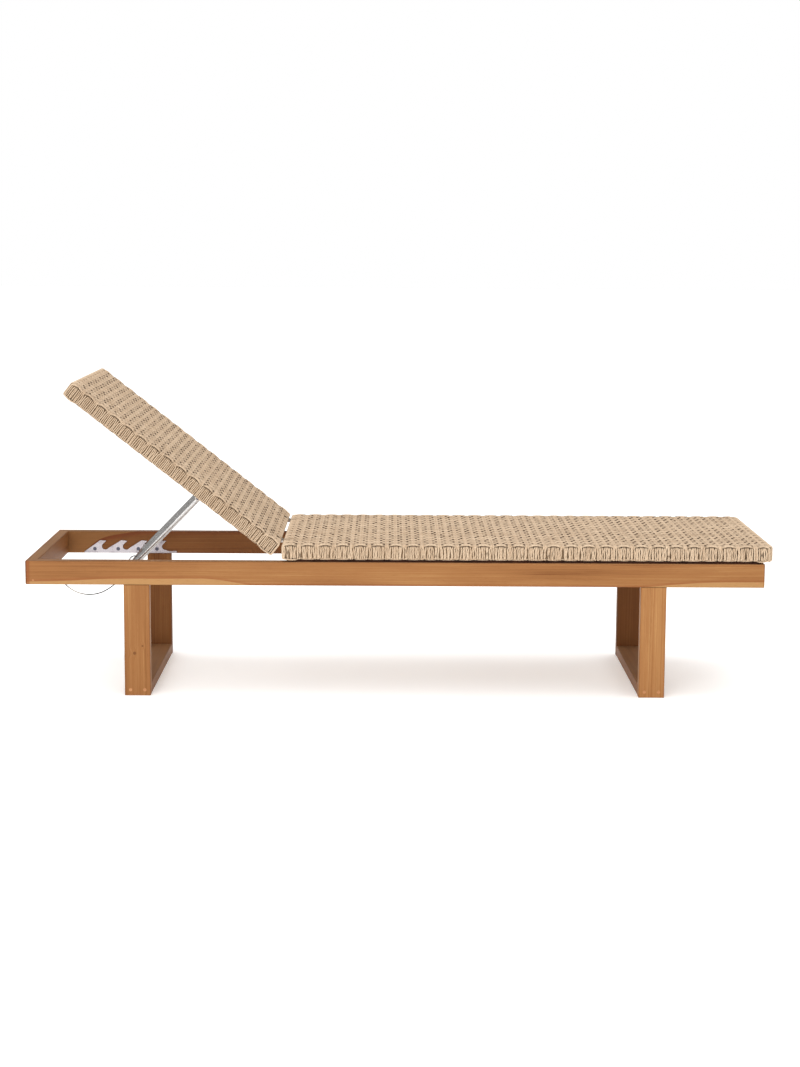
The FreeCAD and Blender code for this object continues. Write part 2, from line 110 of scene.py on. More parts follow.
# A mesh of many tubes. rings[strand, step, side] is a point of the ring round each step of each
# strand's line, and neighbouring steps and sides make the quads. Open tubes get flat ends.
def strandMesh(name, rings, closed, tones, shade):
    strands, steps, sides = rings.shape[:3]
    index = np.arange(strands * steps * sides).reshape(strands, steps, sides)
    ahead = np.roll(index, -1, axis=1) if closed else index[:, 1:]
    here = index if closed else index[:, :-1]
    quads = np.stack((here, ahead, np.roll(ahead, -1, axis=2), np.roll(here, -1, axis=2)), axis=-1)
    middle = rings.mean(axis=2)
    gaps = np.linalg.norm(np.roll(middle, -1, axis=1) - middle, axis=2)
    along = np.concatenate((np.zeros((strands, 1)), np.cumsum(gaps, axis=1)), axis=1)
    uv = tubeUv(along[:, :here.shape[1] + 1], sides)
    quads = quads.reshape(-1, 4)
    if not closed:  # two flat quads close each six-sided end
        nearOrder, farOrder = (0, 1, 2, 3, 0, 3, 4, 5), (3, 2, 1, 0, 5, 4, 3, 0)
        for ring, order in ((index[:, 0], nearOrder), (index[:, -1], farOrder)):
            ends = ring[:, list(order)].reshape(-1, 4)
            quads = np.concatenate((quads, ends))
            uv = np.concatenate((uv, np.zeros((ends.size, 2))))
    mesh = bpy.data.meshes.new(name)
    mesh.vertices.add(strands * steps * sides)
    mesh.vertices.foreach_set("co", rings.astype(np.float32).ravel())
    mesh.loops.add(quads.size)
    mesh.loops.foreach_set("vertex_index", quads.astype(np.int32).ravel())
    mesh.polygons.add(len(quads))
    mesh.polygons.foreach_set("loop_start", np.arange(0, quads.size, 4, dtype=np.int32))
    mesh.update(calc_edges=True)
    layer = mesh.uv_layers.new(name="cordUv")
    layer.data.foreach_set("uv", uv.astype(np.float32).ravel())
    tone = mesh.attributes.new("tone", "FLOAT", "POINT")
    tone.data.foreach_set("value", np.repeat(tones, steps * sides).astype(np.float32))
    deep = mesh.attributes.new("shade", "FLOAT", "POINT")
    deep.data.foreach_set("value", np.repeat(shade.ravel(), sides).astype(np.float32))
    mesh.polygons.foreach_set("use_smooth", np.ones(len(quads), dtype=bool))
    mesh.update()
    return newObject(name, mesh)


# Rings round lines[strand, step]: line + across*halfAcross*cos(a) + out*halfOut*sin(a), where the
# tangent is the difference of the neighbouring steps, out is made square to it, and across is
# tangent x out. The half sizes are numbers or arrays of strand and step.
def ringsRound(lines, out, halfAcross, halfOut, closed, sides=6):
    if closed:
        tangent = np.roll(lines, -1, axis=1) - np.roll(lines, 1, axis=1)
    else:
        tangent = np.gradient(lines, axis=1)
    tangent /= np.linalg.norm(tangent, axis=2, keepdims=True)
    out = out - (out * tangent).sum(axis=2, keepdims=True) * tangent
    out = out / np.linalg.norm(out, axis=2, keepdims=True)
    across = np.cross(tangent, out)
    angle = 2 * np.pi * np.arange(sides) / sides
    wide = np.broadcast_to(halfAcross, lines.shape[:2])[:, :, None, None] * np.cos(angle)[:, None]
    high = np.broadcast_to(halfOut, lines.shape[:2])[:, :, None, None] * np.sin(angle)[:, None]
    return lines[:, :, None, :] + across[:, :, None, :] * wide + out[:, :, None, :] * high


# 0 below low, 1 above high, and 3t^2 - 2t^3 between them.
def smooth(value, low, high):
    t = np.clip((value - low) / (high - low), 0, 1)
    return t * t * (3 - 2 * t)


# Stop wire: a slack arc from the head rail's anchor to a crimped loop round the crossbar
stopWire = {
    "route": ((-0.9715, 0, 0.308), (-0.9695, 0, 0.291), (-0.9595, 0, 0.270), (-0.9385, 0, 0.246),
              (-0.9095, 0, 0.2295), (-0.8775, 0, 0.225), (-0.8465, 0, 0.2305), (-0.8205, 0, 0.245),
              (-0.8005, 0, 0.261), (-0.78167, 0, 0.2792), (-0.76628, 0, 0.2989)),
    "diameter": 3.0 * mm,
    "length": 0.2745,
    "ferrule": 12.0 * mm,
    "stepsPerRun": 10,
    "sides": 10,
}


# Points read from a NURBS line with the route's points as its control points.
def smoothRoute(w):
    curve = bpy.data.curves.new("route", "CURVE")
    curve.dimensions, curve.resolution_u = "3D", w["stepsPerRun"]
    spline = curve.splines.new("NURBS")
    spline.points.add(len(w["route"]) - 1)
    for point, place in zip(spline.points, w["route"]):
        point.co = (*place, 1.0)
    spline.order_u, spline.use_endpoint_u = 3, True
    line = newObject("route", curve)
    bpy.context.view_layer.update()
    mesh = bpy.data.meshes.new_from_object(line)
    points = np.array([v.co for v in mesh.vertices], float)
    bpy.data.objects.remove(line)
    return points


def makeStopWire(w):
    points = smoothRoute(w)
    sideways = np.zeros((1, len(points), 3))
    sideways[..., 1] = 1.0
    rings = ringsRound(points[None], sideways, w["diameter"] / 2, w["diameter"] / 2, False, w["sides"])
    return points, rings


# The wire's tube: quads along it, with an n-sided face at each end.
def wireTube(name, points, rings):
    steps, sides = rings.shape[1:3]
    index = np.arange(steps * sides).reshape(steps, sides)
    near, far = index[:-1], index[1:]
    quads = np.stack((near, far, np.roll(far, -1, axis=1), np.roll(near, -1, axis=1)), axis=-1)
    faces = quads.reshape(-1, 4).tolist() + [index[0].tolist(), index[-1][::-1].tolist()]
    mesh = bpy.data.meshes.new(name)
    mesh.from_pydata(rings.reshape(-1, 3).tolist(), [], faces)
    along = np.concatenate(([0], np.cumsum(np.linalg.norm(np.diff(points, axis=0), axis=1))))
    uv = np.concatenate((tubeUv(along, sides), np.zeros((2 * sides, 2))))
    mesh.uv_layers.new(name="cordUv").data.foreach_set("uv", uv.astype(np.float32).ravel())
    mesh.polygons.foreach_set("use_smooth", np.ones(len(faces), dtype=bool))
    mesh.update()
    return newObject(name, mesh)


crimp = {
    "halfWide": 2.7 * mm,  # across the lounger
    "halfHigh": 2.3 * mm,
    "dents": 3,
    "dented": 0.84,  # of its length
    "dentDepth": 0.45 * mm,
    "lip": 0.5 * mm,
    "steps": 41,
    "sides": 20,
}


# A crimped sleeve: radius = an oval, less dents*cos^2 along the middle, drawn in at both lips.
def makeCrimp(name, c, start, end):
    t = np.linspace(0, 1, c["steps"])[:, None]
    angle = 2 * np.pi * np.arange(c["sides"]) / c["sides"]
    along = (end - start) / np.linalg.norm(end - start)
    side, out = np.array((0.0, 1.0, 0.0)), np.cross(along, (0.0, 1.0, 0.0))
    wave = np.cos(np.pi * (c["dents"] * t - 0.5)) ** 2 * (np.abs(t - 0.5) < c["dented"] / 2)
    dent = c["dentDepth"] * wave * np.abs(np.sin(angle))
    length = np.linalg.norm(end - start)
    near = np.clip(1 - np.minimum(t, 1 - t) * length / c["lip"], 0, 1)
    lip = c["lip"] * (1 - np.sqrt(1 - near ** 2))
    wide, high = c["halfWide"] - lip, c["halfHigh"] - lip - dent
    points = (start + (end - start) * t[:, :, None] + side * (wide * np.cos(angle))[:, :, None]
              + out * (high * np.sin(angle))[:, :, None])
    return wireTube(name, start + (end - start) * t, points[None])


wirePoints, wireRings = makeStopWire(stopWire)
wirePiece = wireTube("stop_wire_cable", wirePoints, wireRings)
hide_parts("stop_wire")
ferruleStart = np.array(stopWire["route"][-1], float)
wireEnd = wirePoints[-1] - wirePoints[-2]
ferruleEnd = ferruleStart + wireEnd / np.linalg.norm(wireEnd) * stopWire["ferrule"]
crimpPiece = makeCrimp("crimp_sleeve", crimp, ferruleStart, ferruleEnd)
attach(crimpPiece, "wire_end")
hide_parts("wire_ferrule")
print("stop wire laid")


# Woven panels. Long cords run from end to end in bundles, over and under groups of three cross cords
weave = {
    "rows": 108,  # long cords side by side
    "bundle": 4,  # of them that rise and dip together
    "rowInset": 2.7 * mm,  # from a panel's side to its outermost long cord
    "halfAcross": 2.85 * mm,  # of one cord
    "halfOut": 1.35 * mm,
    "crossAcross": 1.95 * mm,
    "crossOut": 1.1 * mm,
    "crossDepth": 3.2 * mm,  # of the cross cords' middle below the panel's face
    "crossRise": (-0.6 * mm, 1.7 * mm),  # under a crest, and where a cross cord shows over dipping bundles
    "crossSpacing": 3.4 * mm,
    "crossPlaces": (0.0, 0.22, 0.78),  # across a bundle: between it and the last one, and on both its sides
    "crossBulge": (-0.5 * mm, 1.5 * mm),  # on the corner, under and over the outermost long cord
    "rise": 1.8 * mm,  # of a long cord above or below the cross cords' middle
    "underRise": 0.6 * mm,
    "endMargin": 22.0 * mm,  # from a panel's end to its first group of cross cords
    "cornerRadius": 5.0 * mm,
    "endLevel": 0.4,  # of the rise, where the cords turn over an end
    "sidePitch": 4.76 * mm,  # between strands on a side
    "fanned": ((4.0 * mm, 16.0 * mm), (3.0 * mm, 8.0 * mm)),  # below the top and above the underside
    "loose": (35.0 * mm, 50.0 * mm),  # from the ends, where the lowest side cord hangs clear
    "wander": 0.5 * mm,
    "waves": ((0.31, 0.17, 0.0), (0.13, -0.23, 0.3)),  # its lengths along and across, and its start
    "jitter": (0.06 * mm, 0.08 * mm, 0.10 * mm),  # of a long cord across, in depth and over an end
    "lean": 1.1 * mm,
    "sway": 1.1 * mm,
    "swayTurns": 0.8,  # in half a side's height
    "swayJitter": 0.15 * mm,
    "swayLeast": 0.3,
    "swayFrom": (0.1, 0.5),  # in half heights below the top, where it sets in
    "sideTurn": (0.2, 0.9),  # how far outwards a cross cord faces where it gets a side strand's size
    "strapHalf": 6.4 * mm,  # of a hinge's strap, with some play
    "partedAlong": (14.0 * mm, 48.0 * mm),  # from the hinge's end, where cords stop making room for straps
    "partedDown": (10.0 * mm, 14.0 * mm),  # the same on the end: above the underside, and below the top
    "holes": (0.15, 1.25),  # painted shade in the hole at a float's end: how dark it looks, from hole to hole
    "mottle": 0.14,
    "lines": 0.25,  # painted shade: how dark the last cord of a bundle looks, as a shaded line between bundles
    "quarterSteps": 6,  # points of a strand round a quarter circle
    "sideSteps": 4,  # and between two of them, down a side
    "underSteps": 9,  # and of a cross cord under the panel
    "flatMargin": (1.0 * mm, 4.0 * mm),  # on top and underneath, beside the corner's rounding
}
crest = {  # a long cord's height at a distance from its nearest crest, counted in steps between groups
    "away": (0.0, 0.2, 0.26, 0.4, 0.5, 0.6, 0.74, 0.8, 1.0),
    "height": (1.0, 1.0, 1.0, 0.97, 0.93, 0.8, 0.55, -0.8, -1.0),
    "shade": (0.0, 0.0, 0.0, 0.0, 0.2, 1.0, 1.0, 1.0, 1.0),
    # the outermost cord's place round the corner, in degrees
    "turn": (63.0, 62.0, 60.0, 52.0, 45.0, 38.0, 28.0, 26.0, 26.0),
    "topShares": (0.0, 0.2, 0.26, 0.4, 0.5, 0.6, 0.74, 0.8),
    "underShares": (0.0, 0.22, 0.5, 0.78),
}
outermost = {  # how far the outermost cord lies outside or inside the corner's arc
    "height": (-1.0, -0.5, 0.2, 0.72, 1.0),
    "out": (-2.0 * mm, -1.0 * mm, 0.1 * mm, 0.3 * mm, 0.4 * mm),
    "under": (-4.2 * mm, 1.6 * mm),  # along the underside: tucked in, and loose near the ends
    "underTurn": 45.0,
    "shade": 0.4,  # of a bundle's
    "endDrop": 1.2 * mm,
    "endInset": 2.2 * mm,
}
edgeShadow = {  # a thin dark cord beside it: painted shadow, standing for the shadow line below the outermost cord
    "further": 0.7 * mm,  # in
    "lower": 24.0,  # degrees
    "jitter": 0.25 * mm,
    "endDrop": 2.0 * mm,
    "half": 0.55 * mm,
    "tone": 0.68,
}
edgeShade = {  # on a side's strands below it, by the angle on the corner
    "degrees": (0, 12, 30, 60, 90),
    "share": (0.0, 0.3, 0.9, 1.0, 0.7),
    "heights": (-0.4, 0.5),  # the outermost cord's, where it begins to shade and shades fully
    "strength": 0.8,
}
wraps = {  # single wraps between the groups on both sides
    "fromEnd": 3.0 * mm,
    "tighter": 1.0 * mm,  # than the corner's radius
    "depth": 4.9 * mm,
    "low": 14.0 * mm,  # above the underside, below which their lengths differ
    "lowJitter": 0.35 * mm,
    "jitter": 0.25 * mm,
}
# Each end has its corners' rounding and how far its cords stand out over the solid's end
seatPanel = {
    "node": "seat_weave",
    "label": "seat",
    "body": "frame",
    "joint": None,
    "seed": 11,
    "parts": 6,
    "groupStep": 23.8 * mm,
    "sway": 0.9,
    "sideAcross": 2.12 * mm,
    "ends": {-1: (5.0 * mm, 1.5 * mm), 1: (20.0 * mm, 4.0 * mm)},
    "hingeEnd": -1,
    "slots": (0.0,),  # straps beside the hinge's middle
    "partReach": 30.0 * mm,
}
backPanel = {
    "node": "backrest_weave",
    "label": "backrest",
    "body": "backrest",
    "joint": "backrest_hinge",
    "seed": 23,
    "parts": 4,
    "groupStep": 22.2 * mm,
    "sway": 0.45,
    "sideAcross": 1.6 * mm,
    "ends": {-1: (11.5 * mm, -2.0 * mm), 1: (5.0 * mm, 1.5 * mm)},
    "hingeEnd": 1,
    "slots": (-12.3 * mm, 12.3 * mm),
    "partReach": 45.0 * mm,
}


# Turned about the line through pivot along +Y: x' = x cos + z sin, z' = z cos - x sin.
def turnedAbout(points, pivot, angle):
    x, z = points[..., 0] - pivot[0], points[..., 2] - pivot[2]
    return np.stack((pivot[0] + x * math.cos(angle) + z * math.sin(angle), points[..., 1],
                     pivot[2] + z * math.cos(angle) - x * math.sin(angle)), axis=-1)


# The panel's low and high corners as it lies flat, its pivot, and how far it is raised at rest.
def flatPanel(panel):
    mesh = nodes[panel["node"]].data
    points = np.zeros(len(mesh.vertices) * 3, np.float32)
    mesh.vertices.foreach_get("co", points)
    points = points.reshape(-1, 3).astype(float)
    pivot, raised = (0.0, 0.0, 0.0), 0.0
    if panel["joint"]:
        joint = joints[panel["joint"]]
        pivot, raised = joint["pos_m"], -math.radians(joint["range_deg"][0])
    points = turnedAbout(points, pivot, -raised)
    return points.min(axis=0), points.max(axis=0), pivot, raised


# Middles of the groups of cross cords, evenly spaced between the end margins.
def groupPlaces(low, high, panel):
    first, last = low[0] + weave["endMargin"], high[0] - weave["endMargin"]
    return np.linspace(first, last, round((last - first) / panel["groupStep"]) + 1)


# Height of a bundle at x: distance to its nearest crest, d = |t - 2 round(t / 2)| with t in steps
# and odd bundles one step on, looked up in the crest's profile. Its shade is looked up likewise.
def heightAt(x, bundle, places, part="height"):
    t = (x - places[0]) / (places[1] - places[0]) + bundle % 2
    return np.interp(np.abs(t - 2 * np.round(t / 2)), crest["away"], crest[part])


# How far a rounding of this radius draws a surface in: r - sqrt(r^2 - (r - away)^2).
def roundedIn(away, reach):
    near = np.clip(reach - away, 0, reach * 0.98)
    return reach - np.sqrt(reach ** 2 - near ** 2)


# How far the roundings at both ends draw the sides in at x.
def drawnInAt(x, low, high, panel):
    (lowReach, lowOut), (highReach, highOut) = panel["ends"][-1], panel["ends"][1]
    return roundedIn(x - low[0] + lowOut, lowReach) + roundedIn(high[0] - x + highOut, highReach)


# Numbers of the even places down a side that the groups' middles fall in, counted from the first.
def sideSlots(places):
    return np.round((places - places[0]) / weave["sidePitch"])


# Moves cords aside from the hinge's straps, squeezing those beside each strap together.
def partedForHinge(y, panel):
    half, reach = weave["strapHalf"] + weave["halfAcross"], panel["partReach"]
    for side in (-1, 1):
        away = y - side * panel["hingeY"]
        sign = np.where(away < 0, -1.0, 1.0)
        if len(panel["slots"]) == 1:
            moved = np.interp(np.abs(away), (0, reach), (half, reach))
        else:
            room = panel["slots"][1]
            inner = np.interp(np.abs(away), (0, room), (0, room - half))
            outer = np.interp(np.abs(away), (room, reach), (room + half, reach))
            moved = np.where(np.abs(away) < room, inner, outer)
        y = np.where(np.abs(away) < reach, side * panel["hingeY"] + sign * moved, y)
    return y


# Closed loops from end to end: depth = middle - rise * height on both faces, and quarter circles
# over the ends. Neighbours wander together by a slow sine of x and y. The outermost cords go round
# the corner's arc instead: across = centre + (r + out) cos(turn), depth = centre - (r + out) sin(turn).
def longCords(low, high, panel, rows, random, shadow=False):
    places = groupPlaces(low, high, panel)
    step = places[1] - places[0]
    half = (high[1] - low[1]) / 2
    r, bundle = weave["cornerRadius"], (rows // weave["bundle"])[:, None]
    y = np.linspace(-half + weave["rowInset"], half - weave["rowInset"], weave["rows"])[rows][:, None]
    side = np.where(rows == 0, -1.0, np.where(rows == weave["rows"] - 1, 1.0, 0.0))[:, None]
    corner = weave["halfOut"] + r
    acrossJitter, depthJitter, endJitter = weave["jitter"]

    def face(shares, under):
        x = (places[:-1, None] + step * np.array(shares)).ravel()
        x = np.append(x, places[-1])[None] + 0 * y
        level = heightAt(x, bundle, places)
        slow = sum(np.sin(2 * np.pi * (x / far + y / wide + begun)) for far, wide, begun in weave["waves"])
        across = y + weave["wander"] * slow + random.normal(0, acrossJitter, x.shape)
        depth = weave["crossDepth"] - weave["underRise" if under else "rise"] * level
        depth = depth + random.normal(0, depthJitter, x.shape)
        if under:
            fromEnd = np.minimum(x - low[0], high[0] - x)
            out = np.interp(fromEnd, weave["loose"], outermost["under"][::-1])
            turn = math.radians(outermost["underTurn"]) + 0 * x
        else:
            out = np.interp(level, outermost["height"], outermost["out"])
            turn = np.radians(heightAt(x, bundle, places, "turn"))
        if shadow:
            out = out - edgeShadow["further"] + random.normal(0, edgeShadow["jitter"], x.shape)
            turn = turn - math.radians(edgeShadow["lower"])
        across = np.where(side != 0, side * (half - corner + (r + out) * np.cos(turn)), across)
        depth = np.where(side != 0, corner - (r + out) * np.sin(turn), depth)
        hole = np.arange(x.shape[1]) // len(shares)  # each step between groups has one hole for each bundle
        # each hole's painted shade has its own strength
        strength = random.uniform(*weave["holes"], (weave["rows"], len(places)))[bundle, hole[None]]
        # a random tone for each float, and painted shade on each bundle's last cord
        toneAndShade = random.uniform(0, weave["mottle"], (weave["rows"], len(places)))[bundle, hole[None]]
        strength = strength * np.where(side != 0, outermost["shade"], 1.0)
        shade = heightAt(x, bundle, places, "shade") * strength
        toneAndShade = toneAndShade + weave["lines"] * (rows % weave["bundle"] == weave["bundle"] - 1)[:, None]
        return x, across, depth, shade + (1 - shade) * toneAndShade, 1 / np.tan(turn)

    # Round one end: two quarter circles, drawn in where the panel's corners are rounded.
    def cap(end):
        rounding, proud = panel["ends"][end]
        pull = roundedIn(half - np.abs(y), rounding) - proud
        depth = weave["crossDepth"] - weave["rise"] * weave["endLevel"]
        depth = depth + np.where(side != 0, (edgeShadow if shadow else outermost)["endDrop"], 0)
        reach = (high[0] if end > 0 else low[0]) - end * (weave["halfOut"] + pull)
        turn = np.radians(np.linspace(90, 0, weave["quarterSteps"]))[None]
        x = reach - end * r * (1 - np.cos(turn))
        x = np.concatenate((x, x[:, ::-1]), axis=1)
        z = np.concatenate((high[2] - depth - r * (1 - np.sin(turn)),
                            low[2] + depth + r * (1 - np.sin(turn[:, ::-1]))), axis=1)
        across = np.where(side != 0, side * (half - outermost["endInset"]), y)
        across = across + random.normal(0, endJitter, y.shape) + 0 * x
        if end == panel["hingeEnd"]:
            moved = partedForHinge(across, panel)
            weight = smooth(z, low[2] + weave["partedDown"][0], high[2] - weave["partedDown"][1])
            across = np.where(side != 0, across, across + (moved - across) * weight)
        return x, across, z

    x, across, depth, topShade, topLean = face(crest["topShares"], False)
    moved = partedForHinge(across, panel)
    nearHinge = 1 - smooth(np.abs(x - (high[0] if panel["hingeEnd"] > 0 else low[0])), *weave["partedAlong"])
    across = np.where(side != 0, across, across + (moved - across) * nearHinge)
    top = np.stack((x, across, high[2] - depth), axis=-1)
    x, across, depth, underShade, underLean = face(crest["underShares"], True)
    under = np.stack((x, across, low[2] + depth), axis=-1)[:, ::-1]
    ahead, back = np.stack(cap(1), axis=-1), np.stack(cap(-1), axis=-1)[:, ::-1]
    lines = np.concatenate((top, ahead, under, back), axis=1)
    shade = np.concatenate((topShade, 0 * ahead[..., 0], underShade[:, ::-1], 0 * back[..., 0]), axis=1)
    lean = np.concatenate((topLean, 0 * ahead[..., 0] + 1, underLean[:, ::-1], 0 * back[..., 0] + 1), axis=1)
    tangent = np.roll(lines, -1, axis=1) - np.roll(lines, 1, axis=1)
    out = np.stack((-tangent[..., 2], 0 * tangent[..., 0], tangent[..., 0]), axis=-1)
    out /= np.linalg.norm(out, axis=2, keepdims=True)
    out[..., 1] += side * lean
    return lines, out, shade


# Down one side, from the top face to the underside, over a quarter circle at each corner: distance
# across, height, the outward direction's two parts, and the angle on the top corner.
def sideArc(low, high, half, depth, r, drawnIn):
    turn = np.radians(np.linspace(90, 0, weave["quarterSteps"]))
    sideY = half - weave["halfOut"] - drawnIn
    mid = np.linspace(high[2] - depth - r, low[2] + depth + r, weave["sideSteps"] + 2)[1:-1]
    y = np.concatenate((np.cos(turn) * r - r, 0 * mid, np.cos(turn[::-1]) * r - r)) + sideY[:, None]
    z = np.concatenate((high[2] - depth - r + r * np.sin(turn), mid,
                        low[2] + depth + r - r * np.sin(turn[::-1])))
    outY = np.concatenate((np.cos(turn), 0 * mid + 1, np.cos(turn[::-1])))
    outZ = np.concatenate((np.sin(turn), 0 * mid, -np.sin(turn[::-1])))
    angle = np.concatenate((turn, 0 * mid, 0 * turn))
    return y, z + 0 * y, outY, outZ, angle


# Strands on one side: their points, outward directions and shade, from the top down where side is
# 1, and from the bottom up where it is -1, as a loop runs.
def sideStrands(x, y, z, outY, outZ, shade, side):
    line = np.stack((x, side * y, z), axis=-1)
    out = np.stack((0 * x, side * outY + 0 * x, outZ + 0 * x), axis=-1)
    return line[:, ::side], out[:, ::side], shade[:, ::side]


# Sideways sway of strands on a side face: (lean (t + 1) + sway sin(2 pi (turns t + phase))) * fade,
# where t runs from -1 at the top to 1 at the bottom and the fade is 0 at the top face.
def swayed(z, low, high, panel, random):
    t = 1 - 2 * (z - low[2]) / (high[2] - low[2])
    count = (len(z), 1)
    lean = random.normal(0, weave["lean"], count) * (t + 1)
    sway = weave["sway"] * random.uniform(weave["swayLeast"], 1, count)
    sway = sway * np.sin(2 * np.pi * (weave["swayTurns"] * t + random.uniform(0, 1, count)))
    fade = smooth(1 + t, *weave["swayFrom"])
    return panel["sway"] * (lean + sway + random.normal(0, weave["swayJitter"], z.shape)) * fade


# Shade on a strand where the outermost long cord passes over it at the top corner.
def shadeUnderEdge(x, angle, side, places):
    bundle = 0 if side < 0 else weave["rows"] // weave["bundle"] - 1
    over = smooth(heightAt(x, bundle, places), *edgeShade["heights"])
    along = np.interp(np.degrees(angle), edgeShade["degrees"], edgeShade["share"])
    return edgeShade["strength"] * over[:, None] * along[None]


# Closed loops across the panel, three to a group, drawn together on top and fanned out on the
# sides. A loop rises between bundles that dip, and bulges where it crosses the outermost cord.
def crossCords(low, high, panel, random):
    places = groupPlaces(low, high, panel)
    half = (high[1] - low[1]) / 2
    number = np.repeat(np.arange(len(places)), 3)
    shift = np.tile((-1.0, 0.0, 1.0), len(places))
    bundles = weave["rows"] // weave["bundle"]
    r, depth = weave["cornerRadius"], weave["crossDepth"]
    flatHalf = half - weave["halfOut"] - r
    runY = ((np.arange(bundles)[:, None] + weave["crossPlaces"]) / bundles * 2 - 1).ravel() * half
    bundle = np.repeat(np.arange(bundles), 3)
    between = np.tile((True, False, False), bundles)
    topHalf, underHalf = flatHalf - np.array(weave["flatMargin"])
    inside = np.abs(runY) < topHalf
    runY, bundle, between = runY[inside], bundle[inside], between[inside]
    shows = heightAt(places[number][:, None], bundle[None], places) < 0
    up = np.where(between, 0, np.where(shows, weave["crossRise"][1], weave["crossRise"][0]))
    topX = places[number] + shift * weave["crossSpacing"]
    sideX = places[0] + (sideSlots(places)[number] + shift) * weave["sidePitch"]
    top = np.stack((topX[:, None] + 0 * up, runY + 0 * up, high[2] - depth + up), axis=-1)
    underY = np.linspace(underHalf, -underHalf, weave["underSteps"])
    flat = 0 * topX[:, None] + 0 * underY
    under = np.stack((topX[:, None] + flat, underY + flat, low[2] + depth + flat), axis=-1)
    runs = [(top, np.broadcast_to((0.0, 0.0, 1.0), top.shape), 0 * up)]
    for side in (1, -1):
        y, z, outY, outZ, angle = sideArc(low, high, half, depth, r, drawnInAt(sideX, low, high, panel))
        bundle = 0 if side < 0 else bundles - 1
        over = heightAt(places[number], bundle, places)[:, None] < 0
        bulge = np.where(over, weave["crossBulge"][1], weave["crossBulge"][0]) * np.sin(2 * angle)[None]
        y, z = y + bulge * outY, z + bulge * outZ
        share = smooth(high[2] - z, *weave["fanned"][0]) * smooth(z - low[2], *weave["fanned"][1])
        x = topX[:, None] * (1 - share) + sideX[:, None] * share + swayed(z, low, high, panel, random)
        shade = shadeUnderEdge(places[number], angle, side, places)
        runs.append(sideStrands(x, y, z, outY, outZ, shade, side))
        if side > 0:
            runs.append((under, np.broadcast_to((0.0, 0.0, -1.0), under.shape), 0 * under[..., 0]))
    return [np.concatenate(parts, axis=1) for parts in zip(*runs)]


# Open wraps round both sides, in the even places that the groups leave free.
def edgeWraps(low, high, panel, random):
    places, pitch = groupPlaces(low, high, panel), weave["sidePitch"]
    half = (high[1] - low[1]) / 2
    first = low[0] - panel["ends"][-1][1] + wraps["fromEnd"]
    last = high[0] + panel["ends"][1][1] - wraps["fromEnd"]
    slots = np.arange(math.ceil((first - places[0]) / pitch), math.floor((last - places[0]) / pitch) + 1)
    taken = (sideSlots(places)[:, None] + (-1, 0, 1)).ravel()
    xs = places[0] + slots[~np.isin(slots, taken)] * pitch
    r, depth = weave["cornerRadius"] - wraps["tighter"], wraps["depth"]
    drawnIn = drawnInAt(xs, low, high, panel)
    count = (len(xs), 1)
    runs = []
    for side in (1, -1):
        y, z, outY, outZ, angle = sideArc(low, high, half, depth, r, drawnIn)
        z = z + random.normal(0, wraps["lowJitter"], count) * (z < low[2] + wraps["low"])
        x = xs[:, None] + random.normal(0, wraps["jitter"], count) + swayed(z, low, high, panel, random)
        shade = shadeUnderEdge(xs, angle, side, places)
        runs.append(sideStrands(x, y, z, outY, outZ, shade, side))
    return [np.concatenate(parts) for parts in zip(*runs)]


def makePanel(panel):
    low, high, pivot, raised = flatPanel(panel)
    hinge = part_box("seat_hinge_far")
    panel["hingeY"] = (hinge[0][1] + hinge[1][1]) / 2
    random = np.random.default_rng(panel["seed"])
    pieces = []

    def finished(name, strands, halfAcross, halfOut, closed=True):
        lines, out, shade = strands
        rings = turnedAbout(ringsRound(lines, out, halfAcross, halfOut, closed), pivot, raised)
        tones = random.uniform(0, 1, len(lines))
        piece = strandMesh(panel["label"] + "_" + name, rings, closed, tones, shade)
        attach(piece, panel["body"])
        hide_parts(panel["node"])
        pieces.append(piece)

    for number, rows in enumerate(np.array_split(np.arange(weave["rows"]), panel["parts"])):
        strands = longCords(low, high, panel, rows, random)
        finished("long_cords_" + str(number + 1), strands, weave["halfAcross"], weave["halfOut"])
    loops = crossCords(low, high, panel, random)
    for number in (0, 1):
        part = [strands[len(strands) * number // 2:len(strands) * (number + 1) // 2] for strands in loops]
        onSide = smooth(np.abs(part[1][..., 1]), *weave["sideTurn"])  # rounder and wider there
        halfAcross = weave["crossAcross"] + (panel["sideAcross"] - weave["crossAcross"]) * onSide
        halfOut = weave["crossOut"] + (weave["halfOut"] - weave["crossOut"]) * onSide
        finished("cross_cords_" + str(number + 1), part, halfAcross, halfOut)
    finished("edge_wraps", edgeWraps(low, high, panel, random), panel["sideAcross"], weave["halfOut"], False)
    # dark cords tucked under the outermost ones: a painted shadow line along the top corners
    lines, out, shade = longCords(low, high, panel, np.array((0, weave["rows"] - 1)), random, True)
    shade = shade * 0 + edgeShadow["tone"]
    finished("edge_shadow_cords", (lines, out, shade), edgeShadow["half"], edgeShadow["half"])
    return pieces


seatPieces = makePanel(seatPanel)
print("seat woven")
backPieces = makePanel(backPanel)
print("backrest woven")


# Shader helpers. Into a node's input goes another node's output, a number or a colour
def fill(tree, node, values):
    for key, value in values.items():
        if isinstance(value, bpy.types.NodeSocket):
            tree.links.new(value, node.inputs[key])
        else:
            node.inputs[key].default_value = value


def addNode(tree, kind, values=None, **settings):
    node = tree.nodes.new("ShaderNode" + kind)
    for key, value in settings.items():
        setattr(node, key, value)
    fill(tree, node, values or {})
    return node


def maths(tree, operation, a, b=0.0, c=0.0):
    return addNode(tree, "Math", {0: a, 1: b, 2: c}, operation=operation).outputs[0]


def vectors(tree, operation, a, b=(0, 0, 0)):
    node = addNode(tree, "VectorMath", {0: a, 1: b}, operation=operation)
    return node.outputs["Value" if operation in ("LENGTH", "DOT_PRODUCT") else "Vector"]


